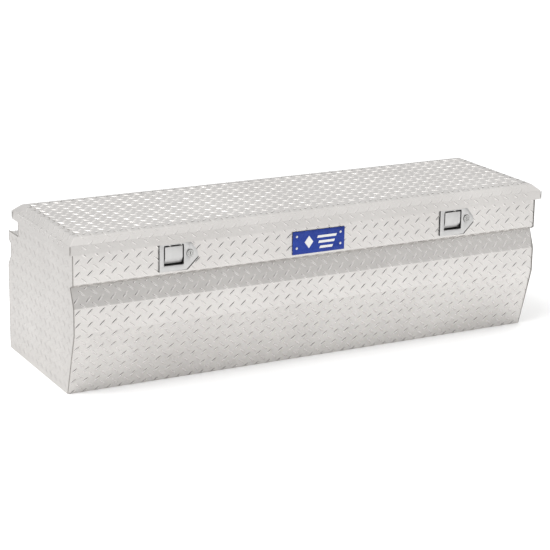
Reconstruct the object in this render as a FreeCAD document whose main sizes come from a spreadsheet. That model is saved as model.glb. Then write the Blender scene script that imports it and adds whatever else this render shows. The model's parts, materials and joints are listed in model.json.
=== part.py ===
import FreeCAD, Part
import math
import os
import Sketcher

# Aluminium chest tool box for a pickup bed. Millimetres, +Z up, -Y is the front, +X is the right
# side seen from the front, and the origin is under the middle of the box at floor level.
# Depths in front of the origin are stored as positive numbers with names that say so.

DIMENSIONS = {
    # lid
    "lid_length": 1524.0,
    "lid_front": 256.0,
    "lid_top": 455.0,
    "lip_top": 436.0,
    "lip_bottom": 409.0,
    "bevel_inset": 21.7,
    "lid_gauge": 1.5,
    "lid_edge_radius": 3.0,
    "pan_gap": 3.0,
    "pan_bottom": 434.2,
    "pan_gauge": 1.0,
    "foam_side_gap": 1.0,
    "foam_top_gap": 0.5,
    # body sheet and its front profile, top to bottom
    "body_length": 1499.0,
    "gauge": 1.5,
    "rim_top": 424.0,
    "flange_width": 26.0,
    "band_front": 242.0,
    "band_bottom": 321.0,
    "recess_front": 223.0,
    "recess_top": 312.0,
    "face_front": 245.0,
    "face_top": 257.0,
    "face_bottom": 184.0,
    "toe_front": 191.0,
    "floor_inset": 1.8,
    # rear profile, top to bottom
    "wall_back": 170.0,
    "ledge_top": 357.0,
    "ledge_back": 246.0,
    "ledge_bottom": 330.0,
    "groove_back": 233.0,
    "groove_top": 324.0,
    "groove_bottom": 286.0,
    "rear_back": 256.0,
    "rear_top": 255.0,
    # bulb seal
    "seal_height": 9.5,
    "seal_width": 10.0,
    "seal_margin": 6.0,
    "seal_corner": 14.0,
    "seal_round": 3.6,
    # piano hinge
    "hinge_gauge": 1.6,
    "hinge_gap": 0.3,
    "knuckle_radius": 5.0,
    "hinge_pin_radius": 1.6,
    "hinge_fit": 0.05,
    "hinge_height": 404.5,
    "hinge_length": 1476.0,
    "knuckle_count": 25.0,
    "knuckle_gap": 0.6,
    "pin_end": 2.0,
    "leaf_start": 1.0,
    "leaf_end_gap": 1.0,
    "leaf_overlap": 1.0,
    "leaf_reach": 30.0,
    "rivet_head_radius": 4.5,
    "rivet_head_height": 1.6,
    "rivet_radius": 2.4,
    "rivet_tail_radius": 3.4,
    "rivet_tail_length": 3.0,
    "rivet_pitch": 120.0,
    "body_rivet_drop": 19.5,
    "lid_rivet_rise": 18.6,
    # latch plate, measured from the middle of its window
    "latch_left_at": 454.0,
    "latch_right_at": 452.0,
    "plate_left": 43.0,
    "plate_right": 74.0,
    "plate_bottom": 329.0,
    "plate_top": 406.0,
    "plate_tip": 364.0,
    "plate_shoulder": 380.0,
    "plate_nose_rake": 3.0,
    "plate_chamfer_top": 50.0,
    "plate_chamfer_bottom": 38.0,
    "plate_gauge": 2.0,
    "plate_corner": 3.5,
    "window_corner": 3.0,
    "gasket_lap": 2.0,
    "gasket_gauge": 1.5,
    "gasket_clearance": 0.6,
    "window_half": 30.0,
    "window_bottom": 345.0,
    "window_top": 403.0,
    "cup_wall": 1.2,
    "cup_depth": 21.0,
    "sheet_clearance": 1.0,
    # paddle and its lever
    "pivot_front": 237.5,
    "pivot_height": 396.5,
    "pivot_radius": 2.0,
    "pivot_fit": 0.05,
    "pivot_end": 4.0,
    "hub_radius": 4.2,
    "paddle_half": 26.6,
    "paddle_front": 244.9,
    "paddle_gauge": 2.0,
    "paddle_top": 398.5,
    "paddle_bend": 366.0,
    "paddle_bottom": 352.0,
    "paddle_tuck": 7.0,
    "paddle_curl": 0.6,
    "paddle_fold": 0.4,
    "web_overlap": 0.5,
    "web_drop": 3.0,
    "lever_near": 32.5,
    "lever_gauge": 3.0,
    "lever_radius": 4.5,
    "lever_reach": 21.5,
    "lever_drop": 12.5,
    "lever_pin_radius": 2.5,
    "lever_pin_end": 0.8,
    "lever_notch_half": 5.6,
    "lever_notch_margin": 1.0,
    # sprung bolt and its guide
    "bolt_near": 24.0,
    "bolt_far": 44.0,
    "bolt_bottom": 406.8,
    "bolt_height": 12.0,
    "bolt_front": 226.0,
    "bolt_nose": 200.0,
    "nose_bevel": 9.0,
    "tab_near": 36.0,
    "tab_gauge": 3.0,
    "tab_half_depth": 5.0,
    "tab_overlap": 1.0,
    "tab_travel": 13.0,
    "tab_clearance": 0.5,
    "tab_bottom": 366.0,
    "slot_half_depth": 3.4,
    "slot_bottom": 370.2,
    "slot_top": 387.8,
    "spring_hole_radius": 4.0,
    "spring_hole_depth": 14.0,
    "spring_coil_radius": 3.2,
    "spring_wire_radius": 0.45,
    "spring_turns": 9.0,
    "spring_gap": 0.2,
    "case_gauge": 1.5,
    "case_clearance": 0.6,
    "case_depth": 26.0,
    "case_gap": 0.2,
    "slot_overrun": 1.0,
    # lock
    "lock_across": 49.0,
    "lock_height": 374.7,
    "barrel_radius": 8.4,
    "barrel_head_radius": 11.0,
    "barrel_head_height": 2.2,
    "barrel_length": 21.0,
    "barrel_fit": 0.1,
    "plug_radius": 6.0,
    "plug_fit": 0.05,
    "plug_recess": 0.6,
    "key_slot_width": 1.6,
    "key_slot_height": 7.6,
    "key_slot_depth": 8.0,
    "cam_gauge": 2.0,
    "cam_half_width": 4.5,
    "cam_reach": 14.0,
    "lock_nut_radius": 11.6,
    "nut_height": 4.0,
    "stud_radius": 2.5,
    "stud_length": 10.0,
    "stud_fit": 0.3,
    "stud_inset": 6.0,
    "stud_right_across": 37.0,
    "stud_right_rise": 7.5,
    "stud_nut_radius": 4.5,
    # striker on the lid
    "striker_front": 210.0,
    "striker_gauge": 2.0,
    "striker_near": 16.0,
    "striker_far": 52.0,
    "striker_bottom": 398.0,
    "striker_foot": 24.0,
    "catch_near": 22.0,
    "catch_far": 46.0,
    "catch_bottom": 404.6,
    "catch_top": 420.6,
    "screw_head_radius": 4.0,
    "screw_head_height": 2.0,
    "screw_inset": 8.0,
    "screw_depth": 14.4,
    # gas struts
    "strut_across": 708.0,
    "strut_arm": 200.0,
    "strut_lid_height": 419.5,
    "strut_spread": 75.0,
    "ball_radius": 5.0,
    "ball_fit": 0.3,
    "ball_neck_radius": 3.0,
    "socket_radius": 8.0,
    "socket_half_width": 7.0,
    "socket_mouth_radius": 4.6,
    "socket_stem": 14.0,
    "socket_stem_radius": 5.0,
    "tube_radius": 9.0,
    "tube_wall": 1.2,
    "tube_length": 208.0,
    "tube_cap": 6.0,
    "rod_radius": 4.0,
    "rod_fit": 0.3,
    "rod_length": 192.0,
    "piston_height": 10.0,
    "collar_radius": 5.7,
    "collar_height": 2.0,
    "bracket_gauge": 2.5,
    "bracket_gap": 10.5,
    "bracket_drop": 8.0,
    "bracket_half_width": 18.0,
    "bracket_top_half": 19.0,
    "bracket_foot": 17.0,
    # plain plate between the latches
    "badge_half_length": 84.0,
    "badge_bottom": 329.0,
    "badge_top": 396.0,
    "badge_gauge": 1.6,
    "badge_rivet_across": 71.0,
    "badge_rivet_low": 347.5,
    "badge_rivet_high": 381.5,
    "badge_rivet_radius": 1.6,
    "badge_rivet_head": 3.6,
    "badge_rivet_crown": 1.4,
    "badge_rivet_tail": 2.3,
}

doc = FreeCAD.newDocument("truck_tool_box")
sheet = doc.addObject("Spreadsheet::Sheet", "Sizes")


class Size:
    """A length with both its value and the spreadsheet expression that gives it."""

    def __init__(self, value, text):
        self.value = value
        self.text = text

    def __add__(self, other):
        other = as_size(other)
        return Size(self.value + other.value, f"({self.text} + {other.text})")

    def __sub__(self, other):
        other = as_size(other)
        return Size(self.value - other.value, f"({self.text} - {other.text})")

    def __mul__(self, factor):
        factor = as_size(factor)
        return Size(self.value * factor.value, f"({self.text} * {factor.text})")

    def __truediv__(self, factor):
        factor = as_size(factor)
        return Size(self.value / factor.value, f"({self.text} / {factor.text})")

    def __neg__(self):
        return Size(-self.value, f"(0 - {self.text})")


def as_size(number):
    """Wraps a plain number, so that it can be added to a Size."""
    if isinstance(number, Size):
        return number
    return Size(float(number), f"{number:.6f}")


class Sizes:
    """Gives each spreadsheet alias as a Size attribute."""

    def __getattr__(self, name):
        return Size(DIMENSIONS[name], f"Sizes.{name}")


size = Sizes()


def fill_sheet():
    """Writes the driving dimensions into the spreadsheet, one aliased row each."""
    for row, (alias, value) in enumerate(DIMENSIONS.items(), start=1):
        sheet.set(f"A{row}", alias)
        sheet.set(f"B{row}", str(value))
        sheet.setAlias(f"B{row}", alias)
    doc.recompute()


def bind(target, prop, length):
    """Binds one property to the spreadsheet."""
    target.setExpression(prop, as_size(length).text)


def new_body(label):
    """An empty body whose label is the piece's name."""
    body = doc.addObject("PartDesign::Body", label)
    body.Label = label
    return body


def sketch_on(body, plane, height=0.0):
    """A sketch on one of the body's own origin planes, moved along the plane's normal."""
    sketch = body.newObject("Sketcher::SketchObject", f"{body.Label}_sketch")
    origin_plane = [o for o in body.Origin.OriginFeatures if o.Role == plane][0]
    sketch.AttachmentSupport = [(origin_plane, "")]
    sketch.MapMode = "FlatFace"
    bind(sketch, ".AttachmentOffset.Base.z", height)
    return sketch


def fix_point(sketch, element, corner, across, up):
    """Ties one point of a sketch to its two spreadsheet coordinates."""
    for kind, coordinate, axis in (("DistanceX", across, -2), ("DistanceY", up, -1)):
        coordinate = as_size(coordinate)
        if abs(coordinate.value) < 1e-9:
            sketch.addConstraint(Sketcher.Constraint("PointOnObject", element, corner, axis))
            continue
        index = sketch.addConstraint(
            Sketcher.Constraint(kind, -1, 1, element, corner, coordinate.value)
        )
        sketch.setExpression(f"Constraints[{index}]", coordinate.text)


def add_outline(sketch, points):
    """A closed outline of straight lines through the given points."""
    points = [(as_size(a), as_size(b)) for a, b in points]
    vectors = [FreeCAD.Vector(a.value, b.value, 0) for a, b in points]
    first = sketch.GeometryCount
    for i, start in enumerate(vectors):
        end = vectors[(i + 1) % len(vectors)]
        sketch.addGeometry(Part.LineSegment(start, end), False)
    for i in range(len(points)):
        following = first + (i + 1) % len(points)
        sketch.addConstraint(Sketcher.Constraint("Coincident", first + i, 2, following, 1))
    for i, (across, up) in enumerate(points):
        fix_point(sketch, first + i, 1, across, up)
    return sketch


def add_rectangle(sketch, left, right, bottom, top):
    """A rectangle from its four sides."""
    return add_outline(sketch, [(left, bottom), (right, bottom), (right, top), (left, top)])


def add_circle(sketch, across, up, radius):
    """A circle from its centre and radius."""
    across, up, radius = as_size(across), as_size(up), as_size(radius)
    centre = FreeCAD.Vector(across.value, up.value, 0)
    normal = FreeCAD.Vector(0, 0, 1)
    index = sketch.addGeometry(Part.Circle(centre, normal, radius.value), False)
    fix_point(sketch, index, 3, across, up)
    held = sketch.addConstraint(Sketcher.Constraint("Radius", index, radius.value))
    sketch.setExpression(f"Constraints[{held}]", radius.text)
    return sketch


def pad(body, sketch, length, symmetric=False, reverse=False):
    """Adds the sketch's area over a length."""
    feature = body.newObject("PartDesign::Pad", f"{body.Label}_pad")
    feature.Profile = sketch
    feature.Type = "Length"
    bind(feature, "Length", length)
    feature.SideType = "Symmetric" if symmetric else "One side"
    feature.Reversed = reverse
    return feature


def pocket(body, sketch, length=None, symmetric=False, reverse=False):
    """Cuts the sketch's area, over a length or right through, and checks that it cut."""
    doc.recompute()
    before = body.Shape.Volume
    feature = body.newObject("PartDesign::Pocket", f"{body.Label}_pocket")
    feature.Profile = sketch
    feature.SideType = "Symmetric" if symmetric else "One side"
    feature.Reversed = reverse
    if length is None:
        feature.Type = "ThroughAll"
    else:
        feature.Type = "Length"
        bind(feature, "Length", length)
    doc.recompute()
    if not body.Shape.Volume < before:
        raise RuntimeError(f"a pocket of {body.Label} cut nothing")
    return feature


def revolve(body, sketch, axis="V_Axis"):
    """Turns the sketch's area a full circle about one of the sketch's axes."""
    feature = body.newObject("PartDesign::Revolution", f"{body.Label}_revolution")
    feature.Profile = sketch
    feature.ReferenceAxis = (sketch, [axis])
    feature.Angle = 360.0
    return feature


def repeat_along_x(body, originals, pitch, count):
    """Copies features along X at an even pitch."""
    feature = body.newObject("PartDesign::LinearPattern", f"{body.Label}_row")
    feature.Originals = originals
    axis = [o for o in body.Origin.OriginFeatures if o.Role == "X_Axis"][0]
    feature.Direction = (axis, [""])
    feature.Mode = "Spacing"
    bind(feature, "Offset", pitch)
    feature.Occurrences = count
    body.Tip = feature
    return feature


def shift_x(body, distance):
    """Places a body along X."""
    bind(body, ".Placement.Base.x", distance)


def sheet_outline(points, gauge):
    """The closed outline of a folded sheet from its outer line, with the sheet on the line's left."""
    flat = [(as_size(a), as_size(b)) for a, b in points]
    directions = []
    for (a0, b0), (a1, b1) in zip(flat, flat[1:]):
        length = math.hypot(a1.value - a0.value, b1.value - b0.value)
        directions.append(((a1.value - a0.value) / length, (b1.value - b0.value) / length))
    inner = []
    for i, (across, up) in enumerate(flat):
        before = directions[max(i - 1, 0)]
        after = directions[min(i, len(directions) - 1)]
        normal = (-before[1] - after[1], before[0] + after[0])
        scale = 1.0 / (1.0 + before[0] * after[0] + before[1] * after[1])
        inner.append((across + gauge * (normal[0] * scale), up + gauge * (normal[1] * scale)))
    return flat + inner[::-1]


def front_line():
    """The outer line of the front sheet, from the toe up to the folded-in flange."""
    return [
        (-size.toe_front, 0.0),
        (-size.face_front, size.face_bottom),
        (-size.face_front, size.face_top),
        (-size.recess_front, size.recess_top),
        (-size.band_front, size.band_bottom),
        (-size.band_front, size.rim_top),
    ]


def rear_line():
    """The outer line of the rear sheet, from the rim down to the floor."""
    return [
        (size.wall_back, size.rim_top),
        (size.wall_back, size.ledge_top),
        (size.ledge_back, size.ledge_top),
        (size.ledge_back, size.ledge_bottom),
        (size.groove_back, size.groove_top),
        (size.groove_back, size.groove_bottom),
        (size.rear_back, size.rear_top),
        (size.rear_back, 0.0),
    ]


def sheet_span():
    """The length of the sheets that run between the two end panels."""
    return size.body_length - size.gauge * 2


def make_front_panel():
    """The front sheet: toe, face, recess, upper band and flange, cut out for the latches."""
    body = new_body("front_panel")
    line = front_line() + [(-size.band_front + size.flange_width, size.rim_top)]
    outline = sheet_outline(line[::-1], size.gauge)
    pad(body, add_outline(sketch_on(body, "YZ_Plane"), outline), sheet_span(), symmetric=True)
    holes = sketch_on(body, "XZ_Plane", size.recess_front)
    for centre in (-size.latch_left_at, size.latch_right_at):
        add_latch_holes(holes, centre, size.sheet_clearance)
    pocket(body, holes, reverse=True)
    for centre in (-size.latch_left_at, size.latch_right_at):
        lever_notch(body, size.band_front, centre, size.gauge)


def add_latch_holes(sketch, centre, margin):
    """The openings that one latch needs in the sheet behind its plate."""
    reach = size.window_half + size.cup_wall + margin
    add_rectangle(
        sketch,
        centre - reach,
        centre + reach,
        size.window_bottom - size.cup_wall - margin,
        size.window_top + size.cup_wall + margin,
    )
    add_circle(sketch, centre + size.lock_across, size.lock_height, size.barrel_radius + margin)
    for across, height in stud_places():
        add_circle(sketch, centre + across, height, size.stud_radius + size.stud_fit)


def lever_notch(body, height, centre, depth):
    """Cuts room for the lever's hub beside the window in a sheet whose plane stands at a height."""
    notch = sketch_on(body, "XZ_Plane", height)
    near = size.window_half + size.cup_wall
    far = size.lever_near + size.lever_gauge + size.lever_notch_margin
    low = size.pivot_height - size.lever_notch_half
    high = size.pivot_height + size.lever_notch_half
    add_rectangle(notch, centre + near, centre + far, low, high)
    pocket(body, notch, depth)


def stud_places():
    """Where the latch plate's two weld studs stand, from the middle of the window."""
    return [
        (-size.plate_left + size.stud_inset, size.plate_bottom + size.stud_inset),
        (size.stud_right_across, size.plate_bottom + size.stud_right_rise),
    ]


def make_floor_panel():
    """The flat floor sheet between the front and rear sheets."""
    body = new_body("floor_panel")
    outline = sketch_on(body, "YZ_Plane")
    front = -size.toe_front + size.floor_inset
    add_rectangle(outline, front, size.rear_back - size.gauge, 0.0, size.gauge)
    pad(body, outline, sheet_span(), symmetric=True)


def make_rear_panel():
    """The rear sheet: flange, upper wall, ledge with its lip, groove and lower wall."""
    body = new_body("rear_panel")
    line = [(size.wall_back - size.flange_width, size.rim_top)] + rear_line()
    outline = sheet_outline([(a, b) for a, b in line], -size.gauge)
    pad(body, add_outline(sketch_on(body, "YZ_Plane"), outline), sheet_span(), symmetric=True)


def make_end_panel(label, side):
    """One end panel with the outline of the sheets and a folded-in top flange."""
    body = new_body(label)
    outer = sketch_on(body, "YZ_Plane")
    add_outline(outer, front_line() + rear_line())
    pad(body, outer, size.gauge, reverse=side > 0)
    flange = sketch_on(body, "YZ_Plane")
    add_rectangle(
        flange,
        -size.band_front + size.flange_width,
        size.wall_back - size.flange_width,
        size.rim_top - size.gauge,
        size.rim_top,
    )
    pad(body, flange, size.flange_width, reverse=side > 0)
    shift_x(body, size.body_length * (0.5 * side))


def rounded_ring(sketch, half_length, front, back, radius):
    """A closed rectangle with round corners, drawn as lines and arcs."""
    left, right = -half_length.value, half_length.value
    low, high, r = front.value, back.value, radius.value
    corners = [(right, low), (right, high), (left, high), (left, low)]
    starts = [270, 0, 90, 180]
    elements = []
    for (cx, cy), start in zip(corners, starts):
        ox = cx - math.copysign(r, cx)
        oy = cy + r if cy == low else cy - r
        circle = Part.Circle(FreeCAD.Vector(ox, oy, 0), FreeCAD.Vector(0, 0, 1), r)
        arc = Part.ArcOfCircle(circle, math.radians(start), math.radians(start + 90))
        elements.append(sketch.addGeometry(arc, False))
    for i, arc in enumerate(elements):
        following = elements[(i + 1) % 4]
        end = sketch.Geometry[arc].EndPoint
        begin = sketch.Geometry[following].StartPoint
        line = sketch.addGeometry(Part.LineSegment(end, begin), False)
        sketch.addConstraint(Sketcher.Constraint("Tangent", arc, 2, line, 1))
        sketch.addConstraint(Sketcher.Constraint("Tangent", line, 2, following, 1))
    held = sketch.addConstraint(Sketcher.Constraint("Radius", elements[0], r))
    sketch.setExpression(f"Constraints[{held}]", radius.text)
    for arc in elements[1:]:
        sketch.addConstraint(Sketcher.Constraint("Equal", elements[0], arc))
    fix_point(sketch, elements[0], 3, half_length - radius, front + radius)
    fix_point(sketch, elements[2], 3, -half_length + radius, back - radius)
    return sketch


def make_bulb_seal():
    """The rubber seal that runs round the rim flange and meets the lid's inner pan."""
    body = new_body("bulb_seal")
    half_length = size.body_length / 2 - size.seal_margin
    front = -size.band_front + size.seal_margin
    back = size.wall_back - size.seal_margin
    outer = rounded_ring(
        sketch_on(body, "XY_Plane", size.rim_top), half_length, front, back, size.seal_corner
    )
    pad(body, outer, size.seal_height)
    inner = rounded_ring(
        sketch_on(body, "XY_Plane", size.rim_top),
        half_length - size.seal_width,
        front + size.seal_width,
        back - size.seal_width,
        size.seal_corner - size.seal_width,
    )
    ring = pocket(body, inner, size.seal_height, reverse=True)
    crown = size.rim_top + size.seal_height
    top = [f"Edge{i}" for i, e in enumerate(ring.Shape.Edges, 1) if edge_is_at(e, crown)]
    round_off = body.newObject("PartDesign::Fillet", "bulb_seal_round")
    round_off.Base = (ring, top)
    bind(round_off, "Radius", size.seal_round)


def edge_is_at(edge, height):
    """True for an edge that lies wholly at one height."""
    box = edge.BoundBox
    return abs(box.ZMin - height.value) < 1e-4 and abs(box.ZMax - height.value) < 1e-4


def lid_back():
    """The lid's rear edge, set by the stack of wall, hinge leaves and knuckle."""
    return hinge_line() + size.knuckle_radius + size.hinge_gap + size.hinge_gauge + size.lid_gauge


def hinge_line():
    """How far behind the origin the hinge pin runs."""
    return size.wall_back + size.hinge_gauge + size.hinge_gap + size.knuckle_radius


def add_lid_rectangle(sketch, inset):
    """The lid's plan rectangle, drawn in by an inset."""
    half = size.lid_length / 2 - inset
    return add_rectangle(sketch, -half, half, -size.lid_front + inset, lid_back() - inset)


def loft(body, low, high):
    """A straight-sided block between two sketches."""
    feature = body.newObject("PartDesign::AdditiveLoft", f"{body.Label}_loft")
    feature.Profile = low
    feature.Sections = [high]
    feature.Ruled = True
    return feature


def make_lid_skin():
    """The lid's outer sheet: lip, bevel and flat top, hollow from below."""
    body = new_body("lid_skin")
    lip = add_lid_rectangle(sketch_on(body, "XY_Plane", size.lip_bottom), 0.0)
    pad(body, lip, size.lip_top - size.lip_bottom)
    low = add_lid_rectangle(sketch_on(body, "XY_Plane", size.lip_top), 0.0)
    high = add_lid_rectangle(sketch_on(body, "XY_Plane", size.lid_top), size.bevel_inset)
    block = loft(body, low, high)
    doc.recompute()
    edges = [
        f"Edge{i}"
        for i, e in enumerate(block.Shape.Edges, 1)
        if e.BoundBox.ZMax > size.lip_bottom.value + size.lid_gauge.value
    ]
    rounded = body.newObject("PartDesign::Fillet", "lid_skin_round")
    rounded.Base = (block, edges)
    bind(rounded, "Radius", size.lid_edge_radius)
    hollow_lid(body)


def hollow_lid(body):
    """Hollows the lid from below, leaving a wall of the sheet's gauge at right angles to each face."""
    gauge = size.lid_gauge
    rise = size.lid_top - size.lip_top
    slant = math.hypot(rise.value, size.bevel_inset.value)
    lift = gauge * ((slant - rise.value) / size.bevel_inset.value)
    shoulder = size.lip_top - lift
    inner_top = size.lid_top - gauge
    inset = size.bevel_inset + gauge * ((slant - size.bevel_inset.value) / rise.value)
    mouth = add_lid_rectangle(sketch_on(body, "XY_Plane", size.lip_bottom), gauge)
    pocket(body, mouth, shoulder - size.lip_bottom, reverse=True)
    low = add_lid_rectangle(sketch_on(body, "XY_Plane", shoulder), gauge)
    high = add_lid_rectangle(sketch_on(body, "XY_Plane", inner_top), inset)
    before = body.Shape.Volume
    hollow = body.newObject("PartDesign::SubtractiveLoft", f"{body.Label}_hollow")
    hollow.Profile = low
    hollow.Sections = [high]
    hollow.Ruled = True
    doc.recompute()
    if not body.Shape.Volume < before:
        raise RuntimeError("the lid was not hollowed")


def make_lid_inner_pan():
    """The lid's inner sheet, which closes the foam in and meets the seal."""
    body = new_body("lid_inner_pan")
    outline = sketch_on(body, "XY_Plane", size.pan_bottom)
    half = size.lid_length / 2 - size.lid_gauge - size.pan_gap
    front = -size.lid_front + size.lid_gauge + size.pan_gap
    back = lid_back() - size.lid_gauge - size.pan_gap
    add_rectangle(outline, -half, half, front, back)
    pad(body, outline, size.pan_gauge)


def make_lid_foam_core():
    """The foam slab between the lid's two sheets."""
    body = new_body("lid_foam_core")
    margin = size.lid_gauge + size.pan_gap
    bottom = size.pan_bottom + size.pan_gauge
    low = add_lid_rectangle(sketch_on(body, "XY_Plane", bottom), margin + size.foam_side_gap)
    top = size.lid_top - size.lid_gauge - size.foam_top_gap
    high = add_lid_rectangle(sketch_on(body, "XY_Plane", top), size.bevel_inset + margin)
    loft(body, low, high)


def make_hinge_leaf(label, side):
    """One leaf of the piano hinge. Side -1 is the body's leaf, which hangs down from the pin."""
    body = new_body(label)
    near = hinge_line() + (size.knuckle_radius + size.hinge_gap) * side
    far = near + size.hinge_gauge * side
    start = size.hinge_height + (size.knuckle_radius + size.leaf_start) * side
    stop = size.hinge_height + size.leaf_reach * side
    if side > 0:
        stop = size.pan_bottom - size.leaf_end_gap
    plate = sketch_on(body, "YZ_Plane")
    add_rectangle(plate, near, far, start, stop)
    pad(body, plate, size.hinge_length, symmetric=True)
    pitch = size.hinge_length / size.knuckle_count
    first = -size.hinge_length / 2 + size.knuckle_gap / 2
    count = int(size.knuckle_count.value) // 2 + 1
    if side > 0:
        first = first + pitch
        count -= 1
    tail_sketch = sketch_on(body, "YZ_Plane", first)
    overlap = size.leaf_overlap * side
    add_rectangle(tail_sketch, near - overlap, far, size.hinge_height, start + overlap)
    tail = pad(body, tail_sketch, pitch - size.knuckle_gap)
    ring_sketch = sketch_on(body, "YZ_Plane", first)
    add_circle(ring_sketch, hinge_line(), size.hinge_height, size.knuckle_radius)
    ring = pad(body, ring_sketch, pitch - size.knuckle_gap)
    repeat_along_x(body, [tail, ring], pitch * 2, count)
    bore = sketch_on(body, "YZ_Plane")
    add_circle(bore, hinge_line(), size.hinge_height, size.hinge_pin_radius + size.hinge_fit)
    pocket(body, bore, symmetric=True)


def make_hinge_pin():
    """The pin through every knuckle."""
    body = new_body("hinge_pin")
    outline = sketch_on(body, "YZ_Plane")
    add_circle(outline, hinge_line(), size.hinge_height, size.hinge_pin_radius)
    pad(body, outline, size.hinge_length + size.pin_end * 2, symmetric=True)


def rivet_shape(radius, head_radius, head_height, grip, tail_radius, tail_length):
    """A blind rivet along +Y: a domed head at the origin's front, a shank through the sheets and
    the swollen tail behind them."""
    dome_radius = (head_radius**2 + head_height**2) / (2 * head_height)
    ball = Part.makeSphere(dome_radius, FreeCAD.Vector(0, dome_radius - head_height, 0))
    keep = Part.makeBox(
        4 * dome_radius, head_height, 4 * dome_radius,
        FreeCAD.Vector(-2 * dome_radius, -head_height, -2 * dome_radius),
    )
    along = FreeCAD.Vector(0, 1, 0)
    shank = Part.makeCylinder(radius, grip, FreeCAD.Vector(0, 0, 0), along)
    tail = Part.makeCylinder(tail_radius, tail_length, FreeCAD.Vector(0, grip, 0), along)
    return ball.common(keep).fuse(shank).fuse(tail)


def place_group(label, shape, places, flip=False):
    """Identical fasteners as one compound of separate solids."""
    group = doc.addObject("Part::Feature", label)
    group.Label = label
    solids = []
    for place in places:
        copy = shape.copy()
        if flip:
            copy.rotate(FreeCAD.Vector(0, 0, 0), FreeCAD.Vector(0, 0, 1), 180)
        copy.translate(FreeCAD.Vector(*[as_size(c).value for c in place]))
        solids.append(copy)
    group.Shape = Part.makeCompound(solids)
    return group


def rivet_row():
    """Where rivets stand along the hinge."""
    pitch = size.rivet_pitch.value
    count = int(size.hinge_length.value // pitch)
    return [(i - count / 2) * pitch for i in range(count + 1)]


def make_hinge_rivets():
    """Rivets through each hinge leaf: through the rear wall, and through the lid's rear lip."""
    rivet = rivet_shape(
        size.rivet_radius.value,
        size.rivet_head_radius.value,
        size.rivet_head_height.value,
        (size.hinge_gauge + size.gauge).value,
        size.rivet_tail_radius.value,
        size.rivet_tail_length.value,
    )
    low = size.hinge_height - size.body_rivet_drop
    high = size.hinge_height + size.lid_rivet_rise
    leaf_face = size.wall_back + size.hinge_gauge
    lip_face = lid_back() - size.lid_gauge
    place_group("hinge_body_rivets", rivet, [(x, leaf_face, low) for x in rivet_row()], flip=True)
    place_group("hinge_lid_rivets", rivet, [(x, lid_back(), high) for x in rivet_row()], flip=True)
    body_holes = [(x, low) for x in rivet_row()]
    lid_holes = [(x, high) for x in rivet_row()]
    cut_holes("hinge_body_leaf", size.rivet_radius, body_holes, size.wall_back, size.hinge_gauge)
    cut_holes("rear_panel", size.rivet_radius, body_holes, size.wall_back - size.gauge, size.gauge)
    cut_holes("lid_skin", size.rivet_radius, lid_holes, lip_face, size.lid_gauge)
    leaf_back = lip_face - size.hinge_gauge
    cut_holes("hinge_lid_leaf", size.rivet_radius, lid_holes, leaf_back, size.hinge_gauge)


def cut_holes(label, radius, places, start, depth):
    """Cuts round holes along +Y in a finished body, from a plane at a given depth."""
    body = doc.getObject(label)
    holes = sketch_on(body, "XZ_Plane", -as_size(start))
    for across, height in places:
        add_circle(holes, across, height, radius)
    pocket(body, holes, depth)


def plate_back():
    """How far in front of the origin the back of a latch plate stands."""
    return size.band_front + size.gasket_gauge


def plate_front():
    """How far in front of the origin the face of a latch plate stands."""
    return plate_back() + size.plate_gauge


def plate_outline():
    """The latch plate: square at the left and drawn to a blunt point at the right."""
    return [
        (-size.plate_left, size.plate_bottom),
        (size.plate_chamfer_bottom, size.plate_bottom),
        (size.plate_right, size.plate_tip),
        (size.plate_right - size.plate_nose_rake, size.plate_shoulder),
        (size.plate_chamfer_top, size.plate_top),
        (-size.plate_left, size.plate_top),
    ]


def gasket_outline():
    """The gasket: as the plate, but standing out past its lower slanted edge."""
    run = size.plate_right - size.plate_chamfer_bottom
    rise = size.plate_tip - size.plate_bottom
    slant = math.hypot(run.value, rise.value)
    corner = (size.plate_chamfer_bottom + size.gasket_lap * (slant / rise.value), size.plate_bottom)
    tip = (size.plate_right, size.plate_tip - size.gasket_lap * (slant / run.value))
    points = plate_outline()
    return points[:1] + [corner, tip] + points[3:]


def round_edges(body, feature, length, radius):
    """Rounds the feature's edges that run straight along Y for a given length."""
    doc.recompute()
    names = []
    for i, edge in enumerate(feature.Shape.Edges, 1):
        box = edge.BoundBox
        straight = box.XLength < 1e-4 and box.ZLength < 1e-4
        if straight and abs(box.YLength - length.value) < 1e-4:
            names.append(f"Edge{i}")
    if not names:
        raise RuntimeError(f"{body.Label} has no edges to round")
    rounded = body.newObject("PartDesign::Fillet", f"{body.Label}_corners")
    rounded.Base = (feature, names)
    bind(rounded, "Radius", radius)
    doc.recompute()
    return rounded


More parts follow.
